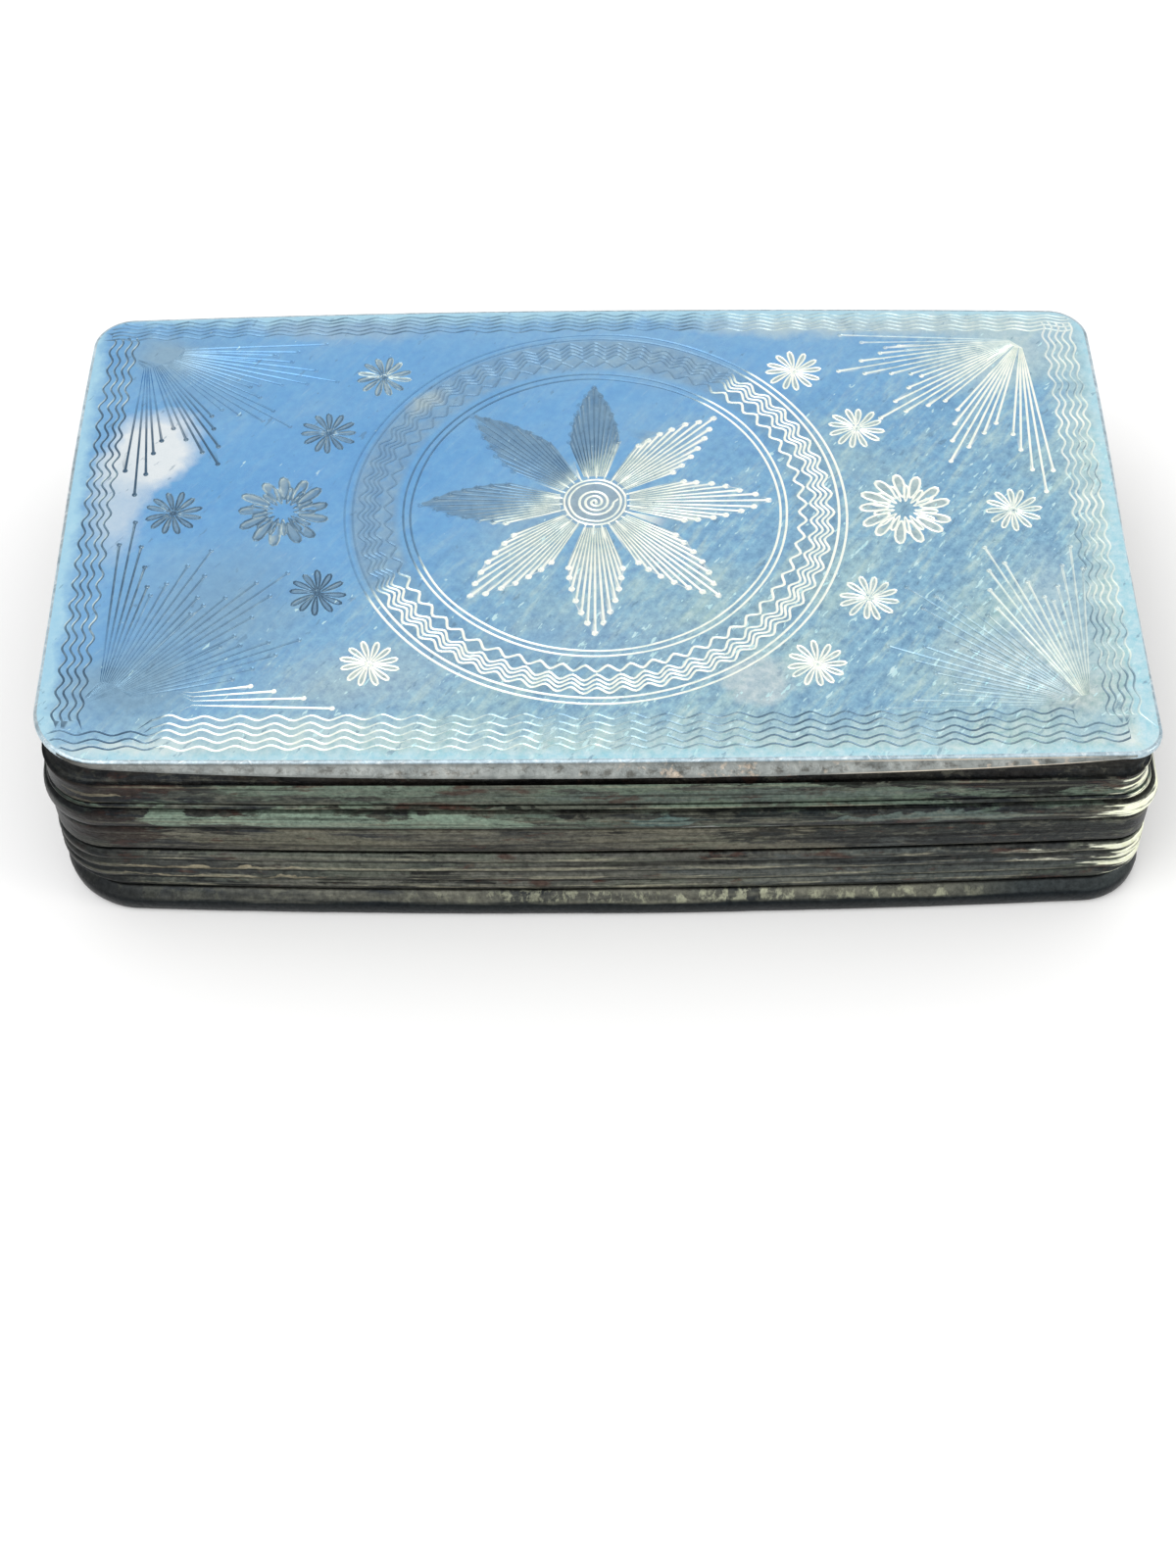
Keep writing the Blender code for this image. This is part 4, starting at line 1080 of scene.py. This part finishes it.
def eye():
    """The rosette's eye: a spiral in two rings with ticks round them."""
    spiral = []
    for step in range(64):
        turn = step / 63
        spiral.append(EYE + direction(360 * 2.9 * turn + 34) * (0.10 + 1.32 * turn))
    cut(spiral, 0.115, depth=0.06, tone=0.9)
    circle(EYE, 1.98, 48, 0.10, 0.05, tone=0.9)
    circle(EYE, 2.34, 52, 0.095, 0.05, tone=0.95)
    for tick in range(26):
        way = direction(360 * (tick + 0.3) / 26)
        cut([EYE + way * 2.50, EYE + way * 2.80], [0.07, 0.11], tone=0.85)


def looped(centre, first, last, width, count, half, turn, tone, force, taper=0.75):
    """A daisy of closed loops that lean a little to one side."""
    for loop in range(count):
        wobble = smooth_noise(centre.x, centre.y, loop * 1.3)
        way = direction(360 * loop / count + turn + 8 * wobble)
        side = Vector((-way.y, way.x))
        reach = last * (1 + 0.09 * smooth_noise(centre.x + 5, centre.y, loop * 2.1))
        points = []
        for step in range(12):
            angle = 2 * math.pi * step / 12
            rise = (1 - math.cos(angle)) / 2
            along = first + (reach - first) * rise
            off = math.sin(angle) * width * (1 - taper + taper * rise) - 0.10 * along**2 / last
            points.append(centre + way * along - side * off)
        shade = tone + 0.25 * smooth_noise(centre.x, loop * 0.9, centre.y)
        cut(points, half, True, 0.045, shade, force, 0.35, True)


def daisies():
    """Ten small daisies and two large double ones."""
    for index, (spot, tone, force) in enumerate(SMALL_DAISIES):
        looped(Vector(spot), 0.36, 2.15, 0.29, 12, 0.085, 14.3 * index, tone, force)
        circle(Vector(spot), 0.17, 6, 0.14, tone=tone - 0.2, force=force)
    for spot, tone, force in LARGE_DAISIES:
        looped(Vector(spot), 1.25, 3.5, 0.50, 13, 0.10, 5.7, tone, force, 0.55)
        looped(Vector(spot), 0.80, 2.45, 0.26, 13, 0.085, 19.6, tone, force)


def fading(apex, force, x, y):
    """A strength that grows away from a fan's apex."""
    reach = math.hypot(x - apex.x, y - apex.y)
    return force * held((reach - 4.0) / 5.5, 0.08)


def fans():
    """Five groups of strokes fan out from near each corner."""
    for number, (apex, side, fades, groups) in enumerate(FANS):
        apex = Vector(apex)
        for group, (heading, start, length, tone, force) in enumerate(groups):
            for index, (off, share) in enumerate(zip(FAN_TURNS, FAN_SHARES)):
                if group == 0 and off * side < -4 or group == 4 and off * side > 1:
                    continue
                wobble = smooth_noise(number * 5.3, group * 2.9, index * 1.9)
                way = direction(heading + off + wobble * 0.8)
                reach = length * share * (1 + 0.03 * wobble)
                shown = partial(fading, apex, force) if fades and start < 5 else force
                shade = tone + 0.1 * wobble
                stroke(apex, way, min(start, reach - 3), reach, 0.10, 0.025, 0.22, tone=shade, force=shown)


def border_place(where, along, off):
    """A point of the straight-sided plan from its place along a side and its distance inwards."""
    if where == "front":
        return along, off - LID_DEPTH / 2
    if where == "back":
        return along, LID_DEPTH / 2 - off
    if where == "left":
        return off - LID_WIDTH / 2, along
    return LID_WIDTH / 2 - off, along


def border():
    """Bundles of wavy cuts along the four sides, clear of each other at the corners."""
    for where, (start, end), insets, waves, height, split, tones, forces in BORDERS:
        for row, inset in enumerate(insets):
            points = []
            count = waves * 9
            for step in range(count + 1):
                share = step / count
                swing = math.sin(2 * math.pi * waves * share + row * 0.12)
                swing = 0.75 * swing + 0.25 * (2 / math.pi * math.asin(swing * 0.97))
                swing *= 1 + 0.5 * smooth_noise(share * waves * 0.35, row * 0.6, 8.0)
                drift = 0.12 * smooth_noise(share * waves * 0.5, row * 0.3, inset)
                x, y = border_place(where, start + (end - start) * share, inset + height * swing + drift)
                clear = where != "front" or row > 1 or -31.5 < x < 34.0
                if inside(x, y, 0.45) and clear:
                    points.append(bowed(x, y))
            tone = partial(border_value, where, *tones)
            force = partial(border_value, where, *forces)
            cut(points, 0.10, tone=tone, force=force, split=split)


def engrave():
    """Lists every cut of the lid."""
    for radius, half in ((19.12, 0.105), (18.55, 0.11)):
        circle(CENTRE, radius, 150, half, 0.12)
    for radius in (14.60, 14.10):
        circle(CENTRE, radius, 150, 0.10, 0.12, force=rim_force)
    polar_wave(15.80, 0.34, 0.115)
    for radius in (16.68, 17.08, 17.48, 17.88):
        polar_wave(radius, 0.29, 0.108, math.pi, 0.3)
    petals()
    eye()
    daisies()
    fans()
    border()


def value_of(source, spot):
    """A number, or what a function gives for a place."""
    return source(spot.x, spot.y) if callable(source) else source


def offset_line(points, halves, closed):
    """The two edges of a cut and its way across at each point."""
    left, right, across = [], [], []
    count = len(points)
    for index, point in enumerate(points):
        before = points[index - 1] if closed or index else point
        after = points[(index + 1) % count] if closed or index < count - 1 else point
        along = (after - before).normalized()
        side = Vector((-along.y, along.x))
        left.append(point + side * halves[index])
        right.append(point - side * halves[index])
        across.append(side)
    return left, right, across


def lay_out_cuts(flat, edges, known, samples):
    """Adds the three lines of every cut, their values, and close samples along its middle."""
    for points, halves, closed, depth, tone, force, split, filled in cuts:
        left, right, across = offset_line(points, halves, closed)
        count = len(points)
        first = len(flat)
        flat.extend(left + points + right)
        for row, lean in enumerate((1, 0, -1)):
            for point, side in zip(points, across):
                # The edge of a cut towards LIGHT_FROM is painted paler as highlight, the other darker as
                # shade.
                shade = value_of(tone, point) + split * lean * side.dot(LIGHT_FROM)
                fill = (0.0 if row == 2 else 1.0) if filled else None
                known.append((shade, value_of(force, point), fill))
        spans = count if closed else count - 1
        for row in range(3):
            begin = first + row * count
            edges.extend((begin + index, begin + (index + 1) % count) for index in range(spans))
        if not closed:
            for end in (first, first + count - 1):
                edges.extend(((end, end + count), (end + count, end + 2 * count)))
        for index in range(spans):
            a, b = points[index], points[(index + 1) % count]
            half_a, half_b = halves[index], halves[(index + 1) % count]
            steps = max(1, int((b - a).length / SAMPLE_STEP))
            for step in range(steps):
                share = step / steps
                half = half_a + (half_b - half_a) * share
                samples.append((a.lerp(b, share), half, depth, known[first + count + index]))


def lay_out_guides(flat, edges, known):
    """Adds the outlines that bound the petals' grounds."""
    for outline, inner in guides:
        first = len(flat)
        flat.extend(outline)
        for point in outline:
            middle = EYE.lerp(point, 0.985)
            known.append((tone_at(point.x, point.y), 0.0, petal_fill(middle) if inner else 0.0))
        edges.extend((first + i, first + (i + 1) % len(outline)) for i in range(len(outline)))


def sink(spot, tree, samples):
    """How deep and how far within a cut a point lies, and the values of the cut."""
    drop, level, nearest = 0.0, 0.0, (tone_at(spot.x, spot.y), 0.0, None)
    for _, index, distance in tree.find_range((spot.x, spot.y, 0), CUT_SEARCH):
        _, half, depth, values = samples[index]
        within = (1 - distance / half) * held((half - 0.008) / 0.03)
        if within > level:
            drop, level, nearest = depth * within, within, values
    return drop, level, nearest


def engraved_sheet(shape, layers, boundary):
    """Triangulates the top of the plate round every cut and sinks the cuts."""
    flat = list(boundary)
    edges = [(i, (i + 1) % len(boundary)) for i in range(len(boundary))]
    known = [None] * len(boundary)
    samples = []
    lay_out_cuts(flat, edges, known, samples)
    lay_out_guides(flat, edges, known)
    tree = KDTree(len(samples))
    for index, sample in enumerate(samples):
        tree.insert((sample[0].x, sample[0].y, 0), index)
    tree.balance()
    spots, _, triangles, sources, _, _ = delaunay_2d_cdt(flat, edges, [], 0, 1e-5)
    edge_of = {}
    verts = []
    for spot, source in zip(spots, sources):
        drop, level, nearest = sink(spot, tree, samples)
        own = [known[index] for index in source if known[index]]
        tone, force, fill = own[0] if own else nearest
        if fill is None:
            fill = petal_fill(spot)
        vert = shape.verts.new((spot.x * MM, (spot.y + PLAN_SHIFT) * MM, (TOP - drop) * MM))
        for layer, value in zip(layers, (level, tone, force, fill)):
            vert[layer] = held(value)
        verts.append(vert)
        for index in source:
            if index < len(boundary):
                edge_of[index] = vert
    for triangle in triangles:
        corners = [verts[corner] for corner in triangle]
        if not shape.faces.get(corners):
            shape.faces.new(corners)
    return [edge_of[index] for index in range(len(boundary))]


# Pieces

# The body's reeds, the lip, the seat of the hinge in the walls, and the knuckles with the gap between them
# and what the two end ones are shorter by
REED_COUNT, REEDS_BOTTOM, REED_PITCH = 4, 2.45, 1.1
LIP_STEPS, LIP_HALF_LENGTH = 120, 37.9
SEAT_HALF, SEAT_DEPTH, SEAT_RADIUS = 24.02, 0.95, 1.15
KNUCKLES, HINGE_LENGTH, KNUCKLE_GAP, END_SHORTER = 7, 48.3, 0.07, 0.12


def lid_plate_piece(materials):
    """The engraved plate with its rounded edge. Its materials are for the top, the edge and underneath."""
    engrave()
    shape = bmesh.new()
    layers = [shape.verts.layers.float.new(name) for name in ("cut", "tone", "force", "fill")]
    rows = [engraved_sheet(shape, layers, loop_at(0.28, TOP))]
    rounding = ((0.12, 17.17), (0.03, 17.08), (0.0, 16.92), (0.01, 16.70), (0.08, 16.56), (0.25, 16.50))
    for inset, z in rounding:
        points = [(spot.x, spot.y + PLAN_SHIFT, z, 0.8) for spot in loop_at(inset, TOP)]
        rows.append(add_row(shape, points, "tone"))
    join_rows(shape, rows, [1] * len(rounding))
    shape.faces.new(rows[-1]).material_index = 2
    piece = finish_mesh("engraved_lid_plate", shape, materials, smooth=False)
    rounded = [polygon.material_index == 1 for polygon in piece.data.polygons]
    piece.data.polygons.foreach_set("use_smooth", rounded)
    place(piece, "lid", "engraved_silver", "lid_plate")


def body_wall_piece(materials):
    """The body's wall: a band over a groove and four reeds."""
    section = [(1.5, 0.8, 0.2, 1), (-0.3, 0.8, 0.2)]
    for reed in range(REED_COUNT):
        low = REEDS_BOTTOM + REED_PITCH * reed
        section += bulge(low, low + REED_PITCH, -0.28, -0.75, 10, 0.8)
        if reed < REED_COUNT - 1:
            section.pop()
    section += [
        (-0.27, 6.95, 0.0), (-0.27, 7.18, 0.0), (-0.45, 7.24, 0.4), (-0.60, 7.32, 0.9), (-0.655, 7.46, 0.7),
        # Wear falls to nought at the top of the band, so that the side metal blackens it there as painted
        # shade under the lid's bead.
        (-0.68, 8.0, 0.40), (-0.69, 8.7, 0.38), (-0.68, 9.4, 0.38), (-0.66, 9.78, 0.30), (-0.60, 9.94, 0.05),
        (-0.46, BODY_TOP, 0.0), (0.4, BODY_TOP, 0.1, 1), (1.5, BODY_TOP, 0.5, 1),
    ]
    return ring("reeded_body_wall", section, materials)


def foot_piece(materials):
    """The rounded rim round the foot."""
    section = (
        (-0.25, 0.05, 0.2), (-1.02, 0.05, 0.5), (-1.16, 0.12, 0.7), (-1.28, 0.35, 0.5), (-1.36, 0.75, 0.45),
        (-1.40, 1.20, 0.7), (-1.36, 1.50, 1.0), (-1.22, 1.80, 1.0), (-1.02, 2.08, 0.9), (-0.80, 2.30, 0.7),
        (-0.60, 2.42, 0.3), (-0.25, 2.44, 0.0),
    )
    place(ring("foot_moulding", section, materials, 0.05), "base", "dark_silver", "foot_rim")


def lid_wall_piece(materials):
    """The lid's wall: a band with a fine fillet low down and a cove under the plate, coloured near-black as
    painted shade.
    """
    section = [
        (1.2, LID_BOTTOM, 0.5, 1), (0.0, LID_BOTTOM, 0.0),
        (-0.36, LID_BOTTOM + 0.03, 0.0), (-0.36, 12.2, 0.0),
    ]
    section += bulge(12.24, 12.68, -0.34, -0.62, 8, 0.8)
    section += [
        (-0.36, 12.74, 0.1), (-0.46, 12.82, 0.7), (-0.50, 12.95, 0.9), (-0.45, 13.35, 0.6),
        (-0.42, 13.9, 0.55), (-0.45, 14.45, 0.6), (-0.50, 14.82, 0.9), (-0.47, 14.95, 0.9),
    ]
    for step in range(9):
        angle = math.radians(90) * step / 8
        section.append((-0.40 + 0.95 * math.sin(angle), 15.02 + 1.3 * (1 - math.cos(angle)), 0.2, 2))
    section += [(0.55, PLATE_BOTTOM, 0.0, 1), (1.2, PLATE_BOTTOM, 0.3, 1)]
    return ring("lid_wall", section, materials)


def lid_bead_piece(materials):
    """The half-round bead along the lid's lower edge."""
    section = [(-0.30, 10.30, 0.0), (-0.62, 10.30, 0.3)]
    section += bulge(10.34, 12.16, -0.62, -1.0, 12, 0.55)
    section += [(-0.55, 12.2, 0.2), (-0.30, 12.2, 0.0)]
    return ring("lid_bead_moulding", section, materials, 0.05)


def bezel_piece(materials):
    """The gilt upstand inside the body, with a rounded top edge and a fillet on the floor."""
    section = (
        (1.5, 0.85, 0.0), (1.5, 12.45, 0.3), (1.54, 12.62, 0.8), (1.66, 12.72, 1.0), (1.92, 12.73, 1.0),
        (2.05, 12.66, 0.9), (2.1, 12.5, 0.6), (2.1, 1.2, 0.0), (2.25, 0.92, 0.0), (2.4, 0.85, 0.0),
    )
    place(ring("gilt_bezel", section, materials, 0.02), "base", "gilt", "bezel_liner")


def base_piece(materials):
    """The bottom sheet, a little dished underneath and flat inside."""
    rows = (
        (9.0, 0.86, 1), (2.0, 0.86, 1), (-0.2, 0.84, 1), (-0.35, 0.5, 0),
        (-0.3, 0.06, 0), (0.6, 0.02, 0), (3.0, 0.10, 0), (8.0, 0.22, 0),
    )
    stations = [[(spot.x, spot.y + PLAN_SHIFT, z, 0.5) for spot in loop_at(inset, 0)] for inset, z, _ in rows]
    piece = lofted("base_sheet", stations, materials, material_of_row=[row[2] for row in rows])
    place(piece, "base", "dark_silver", "base_plate")


def lip_piece(materials):
    """The crescent under the front edge of the lid, which the thumb lifts."""
    stations = []
    for step in range(LIP_STEPS + 1):
        off = 2 * step / LIP_STEPS - 1
        swell = max(0.0, 1 - abs(off) ** 2.2) ** 0.75
        reach = 0.05 + 0.93 * swell
        fall = 0.25 + 0.75 * swell
        edge = front_edge(LIP_HALF_LENGTH * off)
        drift = 0.05 * smooth_noise(LIP_HALF_LENGTH * off * 0.35, 2.0, 5.0) * swell
        section = (
            (0.30, 0.24, 0.4),
            (-0.04, 0.14, 1.0),
            (-0.35 * reach, 0.12 + 0.14 * fall, 0.7),
            (-0.75 * reach, 0.12 + 0.32 * fall + drift, 0.6),
            (-0.95 * reach, 0.12 + 0.44 * fall + drift, 0.9),
            (-1.00 * reach, 0.12 + 0.54 * fall + drift, 1.0),
            (-0.93 * reach, 0.12 + 0.66 * fall + drift, 0.8),
            (-0.60 * reach, 0.12 + 0.78 * fall, 0.2),
            (0.05, 0.12 + 0.98 * fall, 0.0),
            (0.30, 0.12 + 0.98 * fall, 0.0),
        )
        y = edge.y + PLAN_SHIFT
        stations.append([(edge.x, y + inset, TOP - drop, rubbed) for inset, drop, rubbed in section])
    place(lofted("thumb_lip_crescent", stations, materials, 50.0), "lid", "silver", "thumb_lip")


def bearer_piece(name, side, materials):
    """The strip that carries one side's knuckles, soldered into its flat on the wall."""
    near, far, head = -SEAT_DEPTH, 0.5, 2.86
    section = []
    for step in range(9):
        off = near + (far - near) * step / 8
        section.append((off, side * math.sqrt(SEAT_RADIUS**2 - min(abs(off), SEAT_RADIUS) ** 2)))
    section += [
        (far + 0.02, side * (head - 0.45)),
        (far - 0.08, side * (head - 0.18)),
        (far - 0.3, side * (head - 0.03)),
        (near, side * head),
    ]
    stations = []
    for x, shrink in ((-23.98, 0.10), (-23.88, 0), (-12, 0), (0, 0), (12, 0), (23.88, 0), (23.98, 0.10)):
        points = []
        for off, rise in section:
            outer = off > 0.3
            y = HINGE_Y + off - (shrink if outer else 0.0)
            points.append((x, y, HINGE_Z + rise, 0.8 if outer else 0.4))
        stations.append(points)
    return lofted(name, stations, materials, 30.0)


def side_pieces(lid_side, bead_side, body_side, cove, gilt, inner_silver):
    """The three mouldings that the hinge's seat is cut into."""
    lid_wall = lid_wall_piece([lid_side, gilt, cove])
    bead = lid_bead_piece([bead_side])
    body_wall = body_wall_piece([body_side, inner_silver])
    seat = box_cutter((-SEAT_HALF, HINGE_Y - SEAT_DEPTH, 7.29), (SEAT_HALF, 27.0, 13.01))
    relief = rod_along_x("relief", ((-SEAT_HALF, SEAT_RADIUS), (SEAT_HALF, SEAT_RADIUS)), 0, [])
    for piece in (lid_wall, bead, body_wall):
        cut_away(piece, seat)
    for piece in (lid_wall, body_wall):
        cut_away(piece, relief)
    for cutter in (seat, relief):
        bpy.data.objects.remove(cutter)
    for piece in (lid_wall, bead, body_wall):
        piece.data.shade_smooth()
        piece.data.set_sharp_from_angle(angle=math.radians(35))
    place(lid_wall, "lid", "dark_silver", "lid_side_band")
    place(bead, "lid", "dark_silver", "lid_bead")
    place(body_wall, "base", "dark_silver", "body_side_band")


def hinge_pieces(hinge_silver, wire):
    """Both bearers, seven knuckles, two plugs and the pin."""
    place(bearer_piece("body_hinge_strip", -1, [hinge_silver]), "base", "silver", "body_hinge_bearer")
    place(bearer_piece("lid_hinge_strip", 1, [hinge_silver]), "lid", "silver", "lid_hinge_bearer")
    pitch = HINGE_LENGTH / KNUCKLES
    half = (pitch - KNUCKLE_GAP) / 2
    edge = ((0.0, 0.66), (0.0, 0.96), (0.03, 1.04), (0.10, 1.09), (0.2, 1.1))
    for index in range(KNUCKLES):
        body, word = ("lid", "lid") if index % 2 else ("base", "body")
        low = -half if index else -half + END_SHORTER
        high = half if index < KNUCKLES - 1 else half - END_SHORTER
        outline = [(low + inward, radius) for inward, radius in edge]
        outline.append((0.0, 1.1))
        outline += [(high - inward, radius) for inward, radius in reversed(edge)]
        number = index // 2 + 1
        piece = rod_along_x(f"{word}_hinge_knuckle_{number}", outline, pitch * (index - 3), [hinge_silver])
        place(piece, body, "silver", f"{word}_knuckle_{number}")
    for side, word in ((-1, "left"), (1, "right")):
        edge = ((-0.7, 0.66), (-0.03, 0.66), (0.03, 0.62), (0.10, 0.45), (0.13, 0.2))
        outline = [(side * (24.0 + out), radius) for out, radius in edge]
        piece = rod_along_x(f"hinge_plug_{word}", outline, 0, [hinge_silver], 32)
        place(piece, "base", "silver", f"pin_plug_{word}")
    for material_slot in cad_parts["hinge_pin"].material_slots:
        material_slot.material = wire


def build():
    """Makes the materials and every piece."""
    lid_side = side_metal(
        "tarnished_lid_side", seed=3.0, olive=(0.10, 0.11, 0.088), green=(0.15, 0.205, 0.155),
        greens=0.70, crest=0.5, corner_highlight=1.0, patches=LID_SIDE_PATCHES,
    )
    bead_side = side_metal(
        "tarnished_bead", seed=11.0, olive=(0.07, 0.074, 0.06), green=(0.17, 0.24, 0.185),
        greens=0.40, crest=0.3, corner_highlight=1.0, patches=BEAD_PATCHES,
    )
    body_side = side_metal(
        "tarnished_body_side", seed=23.0, olive=(0.158, 0.152, 0.116), green=(0.13, 0.155, 0.115),
        greens=0.3, crest=0.75, corner_highlight=0.9, along=BAND_RIGHT_DARK, patches=BODY_SIDE_PATCHES,
    )
    # The cove is coloured near-black as painted shade under the overhanging plate.
    cove = side_metal(
        "cove_painted_shade", seed=31.0, olive=(0.04, 0.034, 0.028), green=(0.044, 0.044, 0.038),
        greens=0.5, crest=0.2, corner_highlight=0.0,
    )
    # The plate's rounded edge: worn silver tinted pale blue as a painted reflection of the sky.
    rim_silver_sky_tint = plain_silver(
        "rubbed_edge_silver_painted_sky", (0.28, 0.38, 0.44), (0.56, 0.68, 0.74), 0.34, (0.30, 0.33, 0.34), 0.5, 0.5
    )
    inner_silver = plain_silver("inner_silver", (0.42, 0.41, 0.37), (0.66, 0.65, 0.60), 0.34)
    under_silver = plain_silver(
        "underside_silver", (0.17, 0.18, 0.18), (0.48, 0.49, 0.48), 0.36, (0.07, 0.066, 0.052), 0.7, 0.10
    )
    hinge_silver = hinge_metal()
    wire = plain_silver(
        "pin_wire", (0.22, 0.22, 0.23), (0.46, 0.46, 0.48), 0.32, (0.12, 0.11, 0.10), 0.3, 0.6
    )
    gilt = gilding()
    lid_plate_piece([lid_surface(), rim_silver_sky_tint, gilt])
    lip_piece([lip_metal()])
    side_pieces(lid_side, bead_side, body_side, cove, gilt, inner_silver)
    foot_piece([foot_metal()])
    bezel_piece([gilt])
    base_piece([under_silver, gilt])
    hinge_pieces(hinge_silver, wire)


# Studio

CAMERA_LENS, CAMERA_SENSOR = 65.204, 36.0
CAMERA_SPOT = (0.000784, -0.147411, 0.176143)
CAMERA_TURN = (0.6551393, 0.0092039, -0.0029132)


def pale_floor():
    """A plain round floor that keeps the soft shadow."""
    shape = bmesh.new()
    bmesh.ops.create_circle(shape, cap_ends=True, segments=96, radius=1.6)
    mesh = bpy.data.meshes.new("floor")
    shape.to_mesh(mesh)
    shape.free()
    material = bpy.data.materials.new("pale_floor")
    material.use_nodes = True
    shader = material.node_tree.nodes["Principled BSDF"]
    shader.inputs["Base Color"].default_value = (0.94, 0.94, 0.94, 1.0)
    shader.inputs["Roughness"].default_value = 0.9
    mesh.materials.append(material)
    floor = bpy.data.objects.new("floor", mesh)
    bpy.context.scene.collection.objects.link(floor)


def lamp(name, spot, size, power, colour):
    """A round area lamp that faces the box."""
    light = bpy.data.lights.new(name, "AREA")
    light.shape = "DISK"
    light.size = size
    light.energy = power
    light.color = colour
    holder = bpy.data.objects.new(name, light)
    bpy.context.scene.collection.objects.link(holder)
    holder.location = spot
    holder.rotation_euler = (Vector((0, 0, 0.01)) - Vector(spot)).to_track_quat("-Z", "Y").to_euler()


def studio():
    """White surroundings, two soft lamps and the camera."""
    scene = bpy.context.scene
    world = bpy.data.worlds.new("studio")
    scene.world = world
    world.use_nodes = True
    back = world.node_tree.nodes["Background"]
    back.inputs["Color"].default_value = (1.0, 1.0, 1.0, 1.0)
    back.inputs["Strength"].default_value = 1.0
    pale_floor()
    lamp("key", (-0.35, -0.30, 0.75), 0.80, 2.4, (1.0, 1.0, 1.0))
    lamp("right", (0.65, -0.20, 0.28), 0.25, 0.8, (1.0, 0.97, 0.90))
    camera = bpy.data.cameras.new("camera")
    camera.lens = CAMERA_LENS
    camera.sensor_width = CAMERA_SENSOR
    camera.clip_start = 0.01
    holder = bpy.data.objects.new("camera", camera)
    scene.collection.objects.link(holder)
    holder.location = CAMERA_SPOT
    holder.rotation_euler = CAMERA_TURN
    scene.camera = holder
    scene.view_settings.view_transform = "Standard"


build()
studio()
